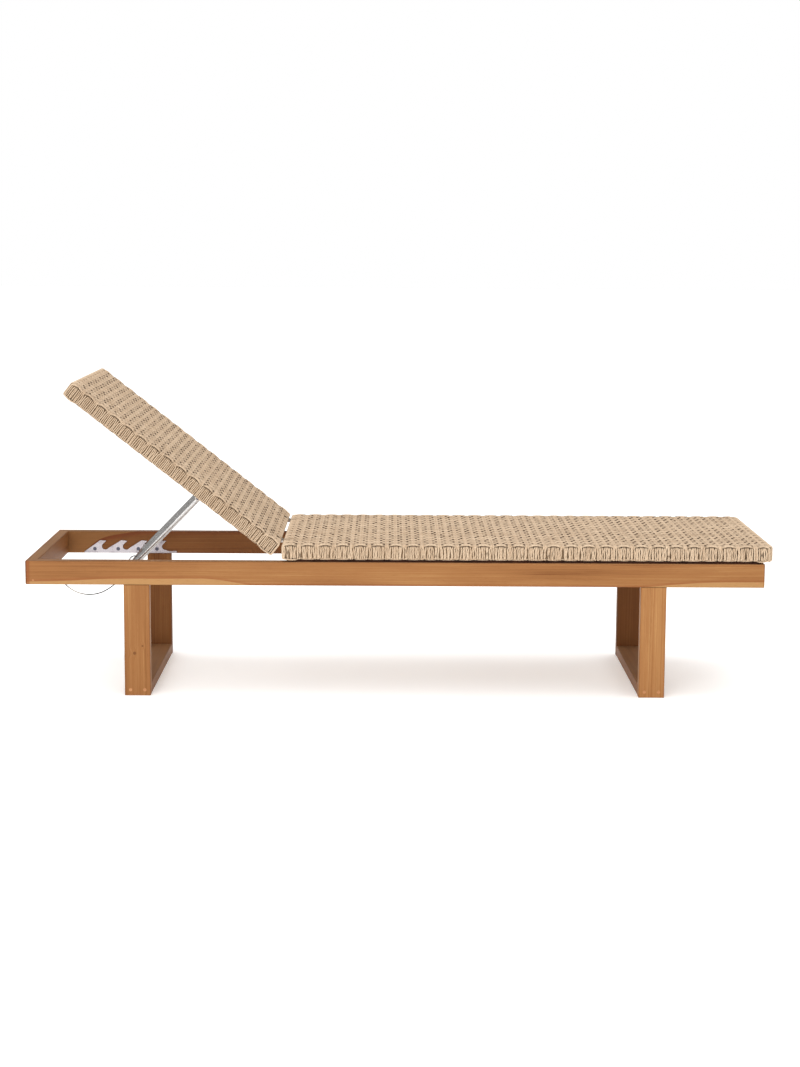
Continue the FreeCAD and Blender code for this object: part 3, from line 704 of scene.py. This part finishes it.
def ranged(tree, value, low, high, toLow=0.0, toHigh=1.0):
    values = {"Value": value, "From Min": low, "From Max": high, "To Min": toLow, "To Max": toHigh}
    return addNode(tree, "MapRange", values, interpolation_type="SMOOTHSTEP").outputs["Result"]


def mixed(tree, share, a, b):
    return addNode(tree, "Mix", {0: share, 6: a, 7: b}, data_type="RGBA").outputs[2]


# Noise on place * stretch, so that a long stretch in one direction makes streaks.
def noise(tree, place, stretch, detail=2.0, roughness=0.5):
    spread = vectors(tree, "MULTIPLY", place, stretch)
    return addNode(tree, "TexNoise", {"Vector": spread, "Scale": 1.0, "Detail": detail,
                                      "Roughness": roughness}).outputs["Fac"]


surfaceOutputs = (("Color", "Color"), ("Roughness", "Float"), ("Height", "Float"))
maskOutput = (("Mask", "Float"),)


def newGroup(name, inputs, outputs):
    group = bpy.data.node_groups.new(name, "ShaderNodeTree")
    for label, kind, value in inputs:
        socket = group.interface.new_socket(name=label, in_out="INPUT", socket_type="NodeSocket" + kind)
        if value is not None:
            socket.default_value = value
    for label, kind in outputs:
        group.interface.new_socket(name=label, in_out="OUTPUT", socket_type="NodeSocket" + kind)
    return group, group.nodes.new("NodeGroupInput").outputs, group.nodes.new("NodeGroupOutput")


# A colour given as it looks on a screen, 0 to 255, made linear.
def rgb(red, green, blue):
    screen = np.array((red, green, blue)) / 255
    linear = np.where(screen <= 0.04045, screen / 12.92, ((screen + 0.055) / 1.055) ** 2.4)
    return (*linear.tolist(), 1.0)


grainLook = {  # each noise has its stretch along and across the grain, its detail and its roughness
    "broad": ((1.6, 13.0, 13.0), 2.0),
    "fibres": ((4.0, 420.0, 420.0), 3.0, 0.6),
    "patches": ((2.4, 22.0, 22.0), 3.0),
    "pores": ((60.0, 1500.0, 1500.0), 1.0),
    "rings": (3.0, 0.62),  # only detail and roughness: they follow the distance from the middle line
    "ringWave": 22.0 * mm,  # how far the broad noise moves the rings
    "fibreShare": 0.45,
    "patchShare": 0.6,
    "toMiddle": (0.18, 0.55),  # of the tone, from the dark colour
    "toPale": (0.5, 0.86),
    "porous": (0.6, 0.75),
    "poreDark": 0.35,
    "roughness": (0.16, 0.42),  # of fibres, and at least
    "height": (0.7, -1.2),  # of fibres and pores
}


# Teak: growth rings are noise over the distance from the log's middle line, with fine fibres,
# broad patches and short pores along the grain, which runs along X.
def makeGrainGroup(g):
    tree, given, out = newGroup("teakGrain", (
        ("Vector", "Vector", None), ("Pale", "Color", (1, 1, 1, 1)), ("Middle", "Color", (0.5, 0.5, 0.5, 1)),
        ("Dark", "Color", (0.1, 0.1, 0.1, 1)), ("Ring Step", "Float", 0.004), ("Bulge", "Float", 0.0),
        ("Sapwood", "Float", 0.0), ("Sapwood Color", "Color", (1, 1, 1, 1)), ("Figure", "Float", 0.4)),
        surfaceOutputs)
    place = given["Vector"]
    broad, fibres, patches, pores = (noise(tree, place, *g[kind]) for kind in
                                     ("broad", "fibres", "patches", "pores"))
    distance = vectors(tree, "LENGTH", vectors(tree, "MULTIPLY", place, (0.0, 1.0, 1.0)))
    wavy = maths(tree, "MULTIPLY_ADD", broad, g["ringWave"], distance)
    count = maths(tree, "DIVIDE", maths(tree, "ADD", wavy, given["Bulge"]), given["Ring Step"])
    detail, roughness = g["rings"]
    rings = addNode(tree, "TexNoise", {"W": count, "Scale": 1.0, "Detail": detail, "Roughness": roughness},
                    noise_dimensions="1D").outputs["Fac"]
    tone = 0.5
    for part, share in ((rings, given["Figure"]), (fibres, g["fibreShare"]), (patches, g["patchShare"])):
        tone = maths(tree, "MULTIPLY_ADD", maths(tree, "SUBTRACT", part, 0.5), share, tone)
    lower = mixed(tree, ranged(tree, tone, *g["toMiddle"]), given["Dark"], given["Middle"])
    colour = mixed(tree, ranged(tree, tone, *g["toPale"]), lower, given["Pale"])
    colour = mixed(tree, given["Sapwood"], colour, given["Sapwood Color"])
    deep = maths(tree, "MULTIPLY", ranged(tree, pores, *g["porous"]), g["poreDark"])
    fibreHeight, poreHeight = g["height"]
    fill(tree, out, {
        "Color": mixed(tree, deep, colour, given["Dark"]),
        "Roughness": maths(tree, "MULTIPLY_ADD", fibres, *g["roughness"]),
        "Height": maths(tree, "MULTIPLY_ADD", fibres, fibreHeight,
                        maths(tree, "MULTIPLY", deep, poreHeight))})
    return tree


# Nearness to a box's edges: of the three distances to its faces, the middle one is small there.
def makeEdgeGroup():
    tree, given, out = newGroup("edgeShadeAndWear", (
        ("Vector", "Vector", None), ("Low", "Vector", (0, 0, 0)), ("High", "Vector", (1, 1, 1)),
        ("Reach", "Float", 0.004)), maskOutput)
    below = vectors(tree, "SUBTRACT", given["Vector"], given["Low"])
    above = vectors(tree, "SUBTRACT", given["High"], given["Vector"])
    parts = addNode(tree, "SeparateXYZ", {"Vector": vectors(tree, "MINIMUM", below, above)}).outputs
    small = maths(tree, "MINIMUM", parts[0], parts[1])
    large = maths(tree, "MAXIMUM", parts[0], parts[1])
    middle = maths(tree, "MAXIMUM", small, maths(tree, "MINIMUM", large, parts[2]))
    rough = noise(tree, given["Vector"], (90.0, 90.0, 90.0), 2.0)
    reach = maths(tree, "MULTIPLY", given["Reach"], maths(tree, "ADD", rough, 0.5))
    share = maths(tree, "DIVIDE", middle, reach)
    fill(tree, out, {"Mask": ranged(tree, share, 0.0, 1.0, 1.0, 0.0)})
    return tree


dustLook = {
    "facing": (0.3, 0.95),  # from how far up a face looks
    "patches": ((9.0, 9.0, 9.0), 3.0),
    "patchRange": (0.2, 0.75, 0.5, 1.0),
}


# Dust lies on faces that look up, in soft patches.
def makeDustGroup(g):
    tree, given, out = newGroup("dust", (
        ("Vector", "Vector", None), ("Facing", "Vector", (0, 0, 1)), ("Amount", "Float", 0.3)), maskOutput)
    up = addNode(tree, "SeparateXYZ", {"Vector": given["Facing"]}).outputs[2]
    patch = noise(tree, given["Vector"], *g["patches"])
    mask = maths(tree, "MULTIPLY", ranged(tree, up, *g["facing"]), ranged(tree, patch, *g["patchRange"]))
    fill(tree, out, {"Mask": maths(tree, "MULTIPLY", mask, given["Amount"])})
    return tree


laidLook = {
    "fibres": ((1600.0, 1600.0, 1600.0), 2.0),
    "patches": ((14.0, 14.0, 14.0), 3.0),
    "layShare": 0.35,  # how much each of these brightens a cord
    "toneShare": 0.35,
    "fibreShare": 0.25,
    "patchShare": 0.5,
    "palest": 0.95,  # their sum where it has its pale colour
    "roughness": (0.55, 0.35, 0.2),  # at least, in the shade and of fibres
    "fibreHeight": 0.3,
}


# Laid cord: height = sin(2 pi (plies * v + u / lay)) over the strand's own coordinates, plus fibres.
def makeCordGroup(g):
    tree, given, out = newGroup("cordLay", (
        ("Strand", "Vector", None), ("Place", "Vector", None), ("Tone", "Float", 0.5),
        ("Shade", "Float", 0.0), ("Pale", "Color", (1, 1, 1, 1)), ("Dark", "Color", (0.2, 0.2, 0.2, 1)),
        ("ShadeColor", "Color", (0.1, 0.1, 0.1, 1)), ("Lay", "Float", 0.009), ("Plies", "Float", 2.0)),
        surfaceOutputs)
    parts = addNode(tree, "SeparateXYZ", {"Vector": given["Strand"]}).outputs
    lays = maths(tree, "DIVIDE", parts[0], given["Lay"])
    turns = maths(tree, "MULTIPLY_ADD", parts[1], given["Plies"], lays)
    ply = maths(tree, "SINE", maths(tree, "MULTIPLY", turns, 2 * math.pi))
    lay = maths(tree, "MULTIPLY_ADD", ply, 0.5, 0.5)
    fibres = noise(tree, given["Place"], *g["fibres"])
    patches = noise(tree, given["Place"], *g["patches"])
    share = maths(tree, "MULTIPLY_ADD", lay, g["layShare"],
                  maths(tree, "MULTIPLY", given["Tone"], g["toneShare"]))
    share = maths(tree, "MULTIPLY_ADD", fibres, g["fibreShare"], share)
    share = maths(tree, "MULTIPLY_ADD", maths(tree, "SUBTRACT", patches, 0.5), g["patchShare"], share)
    colour = mixed(tree, ranged(tree, share, 0.0, g["palest"]), given["Dark"], given["Pale"])
    least, shaded, ofFibres = g["roughness"]
    rough = maths(tree, "MULTIPLY_ADD", given["Shade"], shaded, least)
    # the shade attribute paints shade into the colour
    fill(tree, out, {
        "Color": mixed(tree, given["Shade"], colour, given["ShadeColor"]),
        "Roughness": maths(tree, "MULTIPLY_ADD", fibres, ofFibres, rough),
        "Height": maths(tree, "MULTIPLY_ADD", fibres, g["fibreHeight"], lay)})
    return tree


brushedLook = {
    "streakDetail": 3.0,
    "smudges": ((35.0, 35.0, 35.0), 3.0),
    "smudgeRange": (0.45, 0.8),
    "roughness": (0.14, 0.18, 0.25),  # at least, of streaks and of smudges
    "bump": (0.25, 0.1 * mm),
}


# Brushed metal: streaks stretched along one direction, with soft smudges.
def makeBrushedGroup(g):
    tree, given, out = newGroup("brushed", (
        ("Vector", "Vector", None), ("Stretch", "Vector", (8, 900, 900)),
        ("Base", "Color", (0.8, 0.8, 0.8, 1)), ("Stain", "Color", (0.4, 0.36, 0.34, 1)),
        ("Smudge", "Float", 0.3)), surfaceOutputs)
    spread = vectors(tree, "MULTIPLY", given["Vector"], given["Stretch"])
    streaks = addNode(tree, "TexNoise", {"Vector": spread, "Scale": 1.0,
                                         "Detail": g["streakDetail"]}).outputs["Fac"]
    smudges = noise(tree, given["Vector"], *g["smudges"])
    share = maths(tree, "MULTIPLY", ranged(tree, smudges, *g["smudgeRange"]), given["Smudge"])
    least, ofStreaks, ofSmudges = g["roughness"]
    rough = maths(tree, "MULTIPLY_ADD", streaks, ofStreaks, least)
    fill(tree, out, {
        "Color": mixed(tree, share, given["Base"], given["Stain"]),
        "Roughness": maths(tree, "MULTIPLY_ADD", share, ofSmudges, rough),
        "Height": streaks})
    return tree


grainGroup = makeGrainGroup(grainLook)
edgeGroup = makeEdgeGroup()
dustGroup = makeDustGroup(dustLook)
cordGroup = makeCordGroup(laidLook)
brushedGroup = makeBrushedGroup(brushedLook)


def newMaterial(name):
    material = bpy.data.materials.new(name)
    material.use_nodes = True
    return material, material.node_tree


def placed(tree, group, values):
    return addNode(tree, "Group", values, node_tree=group).outputs


# Fills the material's shader. A bump has its strength and its distance.
def surfaced(material, colour, roughness, height, bump, gloss=0.5, metal=0.0):
    tree = material.node_tree
    relief = addNode(tree, "Bump", {"Strength": bump[0], "Distance": bump[1], "Height": height})
    fill(tree, tree.nodes["Principled BSDF"], {
        "Base Color": colour, "Roughness": roughness, "Specular IOR Level": gloss, "Metallic": metal,
        "Normal": relief.outputs["Normal"]})
    return material


# Timber
teakTones = {
    "pale": rgb(172, 128, 80),
    "middle": rgb(148, 100, 58),
    "dark": rgb(112, 66, 32),
    "sapwood": rgb(168, 126, 80),
    "heart": rgb(134, 72, 40),
    # dark: painted shade on rounded edges and corners, and knots
    "edge": rgb(88, 48, 22),
    "dust": rgb(150, 128, 104),
}
alongX, alongY, alongZ = (0, 0, 0), (0, 0, math.radians(-90)), (0, math.radians(90), 0)
boards = {  # grain direction, how far each board lies from its log's middle, ring step and brightness: the board's own tone, with painted shade on the far and lower boards that sit in the lounger's shade
    "side_rail_near": {"grain": alongX, "log": (0.7, 0.36, 0.30), "ring": 3.6 * mm, "toneAndShade": 1.0,
                       "sap": "near"},
    "side_rail_far": {"grain": alongX, "log": (3.1, -0.33, 0.25), "ring": 4.4 * mm, "toneAndShade": 0.62,
                      "sap": "far"},
    "head_rail": {"grain": alongY, "log": (5.3, 0.12, -0.28), "ring": 4.0 * mm, "toneAndShade": 0.86},
    "foot_rail": {"grain": alongY, "log": (7.9, -0.10, -0.25), "ring": 3.4 * mm, "toneAndShade": 0.95},
    "post_head_near": {"grain": alongZ, "log": (2.2, 0.42, 0.66), "ring": 5.2 * mm, "toneAndShade": 0.97,
                       "knots": (((-0.7155, -0.295, 0.117), 6.0 * mm), ((-0.694, -0.295, 0.137), 3.5 * mm))},
    "post_head_far": {"grain": alongZ, "log": (4.6, -0.20, 0.70), "ring": 4.0 * mm, "toneAndShade": 0.6},
    "post_foot_near": {"grain": alongZ, "log": (6.4, 0.36, -0.60), "ring": 5.6 * mm, "toneAndShade": 1.12,
                       "streaks": ((0.052, 9.0 * mm, "pale", 0.4), (0.027, 1.6 * mm, "dark", 0.45))},
    "post_foot_far": {"grain": alongZ, "log": (8.8, -0.24, -0.66), "ring": 4.2 * mm, "toneAndShade": 0.55},
    "stretcher_head": {"grain": alongY, "log": (1.4, -0.66, 0.05), "ring": 4.5 * mm, "toneAndShade": 0.8},
    "stretcher_foot": {"grain": alongY, "log": (9.7, 0.72, 0.06), "ring": 4.1 * mm, "toneAndShade": 0.8},
    "bearer_hinge": {"grain": alongY, "log": (2.9, -0.23, -0.30), "ring": 4.3 * mm, "toneAndShade": 0.8},
    "bearer_middle": {"grain": alongY, "log": (3.8, 0.31, -0.27), "ring": 3.9 * mm, "toneAndShade": 0.8},
}
sapwood = {  # a paler stripe: places along a rail from its head or foot end, and its border there
    "near": {
        "growing": (0.0, 0.28, 9.5 * mm, 18.0 * mm),
        "ending": (0.47, 0.69, 0.0, -25.0 * mm),
        "atFoot": (-0.42, -0.10, -1.0 * mm, 16.0 * mm),
        "wave": 6.0 * mm,
        "border": (-1.0 * mm, 2.0 * mm),
        "band": (-9.0 * mm, -1.0 * mm, 0.0, 1.0),  # the darkest heartwood beside the border
        "bandShare": 0.35,
        "share": 1.0,
    },
    "far": {
        "upper": (0.16, 0.27, -5.0 * mm, 4.0 * mm),
        "fall": (80.0 * mm, 35.0 * mm),  # where it turns down at the head end, and how steeply
        "wave": 10.0 * mm,
        "border": (-1.0 * mm, 2.0 * mm),
        "band": (-20.0 * mm, -2.0 * mm, 0.0, 0.8),
        "bandShare": 1.0,
        "share": 0.45,
    },
}
oiledTeak = {
    "edgeReach": 2.6 * mm,
    "edgeShadeAndWear": 0.42,
    "knotDark": 0.6,
    "cornerShadeAndOil": ((9.0 * mm, 12.0 * mm, 0.6, "heart"), (1.0 * mm, 4.0 * mm, 0.8, "edge")),
    "streakWave": 12.0 * mm,
    "dust": 0.32,
    "sapwoodTint": 1.1,
    "gloss": 0.12,
    "bump": (0.35, 0.3 * mm),
}


def tinted(colour, share):
    red, green, blue, alpha = colour  # a darker board is redder too
    return red * share, green * share ** 1.25, blue * share ** 1.5, alpha


# How far the rings bend round knots, and how dark the knots are, from distances to their middles.
def knotBulge(tree, place, spots):
    bulge, dark = None, None
    for centre, size in spots:
        away = vectors(tree, "LENGTH", vectors(tree, "SUBTRACT", place, centre))
        near = ranged(tree, away, 0.0, size * 4.0, 1.0, 0.0)
        core = ranged(tree, away, size * 0.5, size, 1.0, 0.0)
        bend = maths(tree, "MULTIPLY", near, size * 1.6)
        bulge = bend if bulge is None else maths(tree, "ADD", bulge, bend)
        dark = core if dark is None else maths(tree, "MAXIMUM", dark, core)
    return bulge, dark


# A paler stripe along one edge of a rail: 0 in the heart and 1 in the sapwood, past a wavy border.
# Beside the border the heartwood is darkest, and that band is the second mask.
def sapwoodMask(tree, place, kind):
    s, (low, high) = sapwood[kind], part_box("side_rail_" + kind)
    parts = addNode(tree, "SeparateXYZ", {"Vector": place}).outputs

    def between(end, first, last, before, after):
        return ranged(tree, parts[0], end + first, end + last, before, after)

    wave = maths(tree, "SUBTRACT", noise(tree, place, (3.5, 3.0, 18.0), 2.0), 0.5)
    if kind == "near":  # along the lower edge, near both ends
        border = maths(tree, "ADD", between(low[0], *s["growing"]), between(low[0], *s["ending"]))
        border = maths(tree, "MAXIMUM", border, between(high[0], *s["atFoot"]))
        above = maths(tree, "SUBTRACT", parts[2], low[2])
        into = maths(tree, "SUBTRACT", maths(tree, "MULTIPLY_ADD", wave, s["wave"], border), above)
    else:  # along the upper edge, and down to the lower one at the head end
        fall = maths(tree, "SUBTRACT", low[0] + s["fall"][0], parts[0])
        fall = maths(tree, "EXPONENT", maths(tree, "DIVIDE", fall, s["fall"][1]))
        border = maths(tree, "MULTIPLY_ADD", fall, low[2] - high[2], between(low[0], *s["upper"]))
        above = maths(tree, "SUBTRACT", parts[2], high[2])
        into = maths(tree, "SUBTRACT", above, maths(tree, "MULTIPLY_ADD", wave, s["wave"], border))
    inside = ranged(tree, into, *s["border"], s["bandShare"], 0.0)
    band = maths(tree, "MULTIPLY", ranged(tree, into, *s["band"]), inside)
    return ranged(tree, into, *s["border"], 0.0, s["share"]), band


def makeTeak(name, board):
    material, tree = newMaterial("teak_" + name)
    spots = addNode(tree, "TexCoord")
    place, facing = spots.outputs["Object"], spots.outputs["Normal"]
    onLog = addNode(tree, "Mapping", {"Vector": place, "Location": board["log"], "Rotation": board["grain"]})
    # the board's own tone, darkened on far and lower boards by painted shade
    toneAndShade = board["toneAndShade"]
    values = {label: tinted(teakTones[label.lower()], toneAndShade) for label in ("Pale", "Middle", "Dark")}
    values["Vector"], values["Ring Step"] = onLog.outputs["Vector"], board["ring"]
    values["Sapwood Color"] = tinted(teakTones["sapwood"], min(1.0, toneAndShade * oiledTeak["sapwoodTint"]))
    dark = None
    if board.get("knots"):
        values["Bulge"], dark = knotBulge(tree, place, board["knots"])
    if board.get("sap"):
        values["Sapwood"], band = sapwoodMask(tree, place, board["sap"])
    grain = placed(tree, grainGroup, values)
    low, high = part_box(name)
    edge = placed(tree, edgeGroup, {"Vector": place, "Low": low, "High": high,
                                    "Reach": oiledTeak["edgeReach"]})["Mask"]
    # edges darker: painted shade on their rounding, and wear
    paintedLight = maths(tree, "MULTIPLY", edge, oiledTeak["edgeShadeAndWear"])
    colour = mixed(tree, paintedLight, grain["Color"], teakTones["edge"])
    if dark is not None:
        colour = mixed(tree, maths(tree, "MULTIPLY", dark, oiledTeak["knotDark"]), colour, teakTones["edge"])
    if board.get("sap"):
        colour = mixed(tree, band, colour, tinted(teakTones["heart"], toneAndShade))
    along = addNode(tree, "SeparateXYZ", {"Vector": place}).outputs[0]
    if board.get("sap") == "near":  # at the mitred corner: painted shade on the rounded corner, and end grain that soaks up more oil
        for reach, fades, strength, tone in oiledTeak["cornerShadeAndOil"]:
            share = ranged(tree, along, low[0] + reach, low[0] + fades, strength, 0.0)
            colour = mixed(tree, share, colour, teakTones[tone])
    for offset, reach, tone, strength in board.get("streaks", ()):  # lines along a post
        bend = maths(tree, "SUBTRACT", noise(tree, place, (3.0, 3.0, 9.0), 2.0), 0.5)
        line = maths(tree, "MULTIPLY_ADD", bend, oiledTeak["streakWave"], low[0] + offset)
        away = maths(tree, "ABSOLUTE", maths(tree, "SUBTRACT", along, line))
        colour = mixed(tree, ranged(tree, away, 0.0, reach, strength, 0.0), colour, teakTones[tone])
    dust = placed(tree, dustGroup, {"Vector": place, "Facing": facing, "Amount": oiledTeak["dust"]})["Mask"]
    colour = mixed(tree, dust, colour, teakTones["dust"])
    return surfaced(material, colour, grain["Roughness"], grain["Height"], oiledTeak["bump"],
                    oiledTeak["gloss"])


plugWood = {
    "pale": rgb(208, 156, 102),
    "middle": rgb(176, 118, 70),
    "dark": rgb(120, 72, 38),
    "ring": 0.7 * mm,
    "bump": (0.4, 0.3 * mm),
}


def makePlugWood(p):
    material, tree = newMaterial("plug_wood")
    grain = placed(tree, grainGroup, {
        "Vector": addNode(tree, "TexCoord").outputs["Object"], "Pale": p["pale"], "Middle": p["middle"],
        "Dark": p["dark"], "Ring Step": p["ring"]})
    return surfaced(material, grain["Color"], grain["Roughness"], grain["Height"], p["bump"])


cordLook = {
    "pale": rgb(207, 184, 157),
    "dark": rgb(175, 149, 122),
    # the colour of the painted shade in the weave's holes and gaps
    "deep": rgb(60, 42, 28),
    "lay": 9.0 * mm,
    "gloss": 0.12,
    "bump": (0.5, 0.25 * mm),
}


def makeCordMaterial(c):
    material, tree = newMaterial("woven_cord")
    place = addNode(tree, "TexCoord").outputs["Object"]
    strand = addNode(tree, "UVMap", uv_map="cordUv").outputs["UV"]
    tone = addNode(tree, "Attribute", attribute_name="tone").outputs["Fac"]
    shade = addNode(tree, "Attribute", attribute_name="shade").outputs["Fac"]
    cord = placed(tree, cordGroup, {
        "Strand": strand, "Place": place, "Tone": tone, "Shade": maths(tree, "MINIMUM", shade, 1.0),
        "Pale": c["pale"], "Dark": c["dark"], "ShadeColor": c["deep"], "Lay": c["lay"]})
    return surfaced(material, cord["Color"], cord["Roughness"], cord["Height"], c["bump"], c["gloss"])


def makeMetal(name, base, stain, stretch, smudge, turn=(0, 0, 0)):
    material, tree = newMaterial(name)
    place = addNode(tree, "TexCoord").outputs["Object"]
    along = addNode(tree, "Mapping", {"Vector": place, "Rotation": turn}).outputs["Vector"]
    metal = placed(tree, brushedGroup, {"Vector": along, "Stretch": stretch, "Base": base, "Stain": stain,
                                        "Smudge": smudge})
    return surfaced(material, metal["Color"], metal["Roughness"], metal["Height"], brushedLook["bump"],
                    metal=1.0)


moulded = {
    "patches": ((30.0, 30.0, 30.0), 3.0),
    "patchRange": (0.3, 0.8),
    "speckRoughness": 0.2,
    "gloss": 0.15,
    "bump": (0.3, 0.1 * mm),
}


def makeMoulded(name, pale, dark, roughness, grain):
    material, tree = newMaterial(name)
    place = addNode(tree, "TexCoord").outputs["Object"]
    speckle = noise(tree, place, (grain, grain, grain), 2.0)
    patch = noise(tree, place, *moulded["patches"])
    colour = mixed(tree, ranged(tree, patch, *moulded["patchRange"]), dark, pale)
    rough = maths(tree, "MULTIPLY_ADD", speckle, moulded["speckRoughness"], roughness)
    return surfaced(material, colour, rough, speckle, moulded["bump"], moulded["gloss"])


sheath = {
    "pale": rgb(70, 66, 64),
    "dark": rgb(26, 22, 20),
    "lay": 7.0 * mm,
    "plies": 6.0,
    "paintedGlint": rgb(206, 200, 190),
    "glintFrom": (60.0 * mm, 80.0 * mm),  # along the wire, where a painted glint lies
    "glintTo": (100.0 * mm, 135.0 * mm),
    "paintedLight": 0.8,
    "roughness": 0.5,
    "gloss": 0.15,
    "bump": (0.4, 0.2 * mm),
}


# Stranded steel under a sheath: the wires' lay shows as a fine twist, and one stretch carries a painted glint.
def makeWireMaterial(s):
    material, tree = newMaterial("coated_wire")
    place = addNode(tree, "TexCoord").outputs["Object"]
    strand = addNode(tree, "UVMap", uv_map="cordUv").outputs["UV"]
    cord = placed(tree, cordGroup, {"Strand": strand, "Place": place, "Tone": 0.5, "Pale": s["pale"],
                                    "Dark": s["dark"], "Lay": s["lay"], "Plies": s["plies"]})
    along = addNode(tree, "SeparateXYZ", {"Vector": strand}).outputs[0]
    # a painted glint, pale, along one stretch of the wire
    until = ranged(tree, along, *s["glintTo"], s["paintedLight"], 0.0)
    paintedGlint = maths(tree, "MULTIPLY", ranged(tree, along, *s["glintFrom"]), until)
    colour = mixed(tree, paintedGlint, cord["Color"], s["paintedGlint"])
    return surfaced(material, colour, s["roughness"], cord["Height"], s["bump"], s["gloss"])


# Gives a node of the frame its material, in its own slots.
def dress(name, material):
    data = nodes[name].data
    if not len(data.materials):
        data.materials.append(material)
    for number in range(len(data.materials)):
        data.materials[number] = material


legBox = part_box("prop_leg_near")
legLean = math.atan2(legBox[1][2] - legBox[0][2], legBox[1][0] - legBox[0][0])
otherMaterials = {  # colours, streaks' stretch along and across, and smudges
    "rack_steel": makeMetal("rack_steel", rgb(174, 168, 172), rgb(122, 114, 120), (14, 300, 300), 0.6),
    "hinge_steel": makeMetal("hinge_steel", rgb(176, 168, 160), rgb(120, 108, 96), (14, 700, 700), 0.4),
    "fastener_steel": makeMetal("fastener_steel", rgb(82, 82, 92), rgb(50, 48, 52), (500, 500, 500), 0.4),
    "prop_steel": makeMetal("prop_steel", rgb(188, 186, 184), rgb(104, 98, 94), (9, 260, 260), 0.3,
                            (0, legLean, 0)),
    "tube_aluminium": makeMetal("tube_aluminium", rgb(104, 84, 64), rgb(76, 60, 44), (12, 500, 500), 0.4),
    "cap_plastic": makeMoulded("cap_plastic", rgb(66, 62, 58), rgb(34, 32, 30), 0.4, 900.0),
    # dark brown rubber strips under the panels: their dark colour also stands in for the shade of the gap below
    # the panels
    "pad_rubber": makeMoulded("pad_rubber", rgb(60, 30, 16), rgb(38, 16, 8), 0.7, 700.0),
    "dowel_wood": makePlugWood(plugWood),
    "coated_wire": makeWireMaterial(sheath),
}
slots = {part["node"]: part["material_slot"] for part in frame["record"]["subparts"]}
for name in nodes:
    if name in boards:
        dress(name, makeTeak(name, boards[name]))
    elif slots[name] in otherMaterials:
        dress(name, otherMaterials[slots[name]])
cordMaterial = makeCordMaterial(cordLook)
for piece in seatPieces + backPieces:
    piece.data.materials.append(cordMaterial)
dress("seat_weave", cordMaterial)
dress("backrest_weave", cordMaterial)
wirePiece.data.materials.append(otherMaterials["coated_wire"])
crimpPiece.data.materials.append(otherMaterials["fastener_steel"])
print("materials made")


pressedEdges = {
    "nodes": ("rack_near", "rack_far", "prop_bracket_near", "prop_bracket_far"),
    "width": 0.35 * mm,
    "segments": 2,
    "sharperThan": 40.0,  # degrees
    "weld": 0.001 * mm,
}


# The plate's corners are merged, and its sharp edges get a small bevel, as pressed steel has.
def softenEdges(name, e):
    weld = nodes[name].modifiers.new("weld", "WELD")
    weld.merge_threshold = e["weld"]
    bevel = nodes[name].modifiers.new("bevel", "BEVEL")
    bevel.width, bevel.segments, bevel.limit_method = e["width"], e["segments"], "ANGLE"
    bevel.angle_limit = math.radians(e["sharperThan"])


for name in pressedEdges["nodes"]:
    softenEdges(name, pressedEdges)


# Floor, lights and background
studio = {
    "floorHalf": 40.0,
    "floorTone": rgb(247, 246, 245),
    "floorSpeck": rgb(225, 223, 220),
    "floorRough": 0.9,
    "floorGlow": 0.25,  # a floor lit from below, as in a light tent
    "sky": (0.25, 1.25),  # brightness at the horizon and overhead, as surfaces see it
    "mirrored": 0.45,  # of that, in polished metal, as if black flags hung beside the camera
    "aim": (0, 0, 0.35),  # of the lights
    "lights": (
        {"name": "frontLight", "place": (-1.4, -6.0, 2.6), "size": 4.0, "power": 160.0},
        {"name": "topLight", "place": (0.6, 0.4, 4.6), "size": 4.0, "power": 60.0},
    ),
}


def makeFloor(s):
    half = s["floorHalf"]
    mesh = bpy.data.meshes.new("floor")
    corners = [(-half, -half, 0), (half, -half, 0), (half, half, 0), (-half, half, 0)]
    mesh.from_pydata(corners, [], [(0, 1, 2, 3)])
    floor = newObject("floor", mesh)
    material, tree = newMaterial("floor")
    place = addNode(tree, "TexCoord").outputs["Object"]
    speckle = maths(tree, "MULTIPLY", noise(tree, place, (60.0, 60.0, 60.0), 3.0), 0.05)
    fill(tree, tree.nodes["Principled BSDF"], {
        "Base Color": mixed(tree, speckle, s["floorTone"], s["floorSpeck"]), "Roughness": s["floorRough"],
        "Emission Color": s["floorTone"], "Emission Strength": s["floorGlow"]})
    floor.data.materials.append(material)


# White to the camera. Surfaces see a dome that darkens towards the horizon.
def makeSky(s):
    world = bpy.data.worlds.new("sky")
    world.use_nodes = True
    tree = world.node_tree
    plain = tree.nodes["Background"]
    plain.inputs["Color"].default_value = (1, 1, 1, 1)
    ahead = addNode(tree, "TexCoord").outputs["Generated"]
    height = addNode(tree, "SeparateXYZ", {"Vector": ahead}).outputs[2]
    rays = addNode(tree, "LightPath").outputs
    share = ranged(tree, rays["Is Glossy Ray"], 0.0, 1.0, 1.0, s["mirrored"])
    strength = maths(tree, "MULTIPLY", ranged(tree, height, 0.05, 0.5, *s["sky"]), share)
    dome = addNode(tree, "Background", {"Color": (1, 1, 1, 1), "Strength": strength})
    both = addNode(tree, "MixShader", {0: rays["Is Camera Ray"], 1: dome.outputs[0], 2: plain.outputs[0]})
    tree.links.new(both.outputs[0], tree.nodes["World Output"].inputs["Surface"])
    bpy.context.scene.world = world


def makeLights(s):
    for light in s["lights"]:
        data = bpy.data.lights.new(light["name"], "AREA")
        data.size, data.energy = light["size"], light["power"]
        lamp = bpy.data.objects.new(light["name"], data)
        bpy.context.scene.collection.objects.link(lamp)
        lamp.location = light["place"]
        away = Vector(light["place"]) - Vector(s["aim"])
        lamp.rotation_euler = away.to_track_quat("Z", "Y").to_euler()


makeFloor(studio)
makeSky(studio)
makeLights(studio)
bpy.context.scene.view_settings.view_transform = "Standard"
print("studio lit")

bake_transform(wirePiece)

print("done")
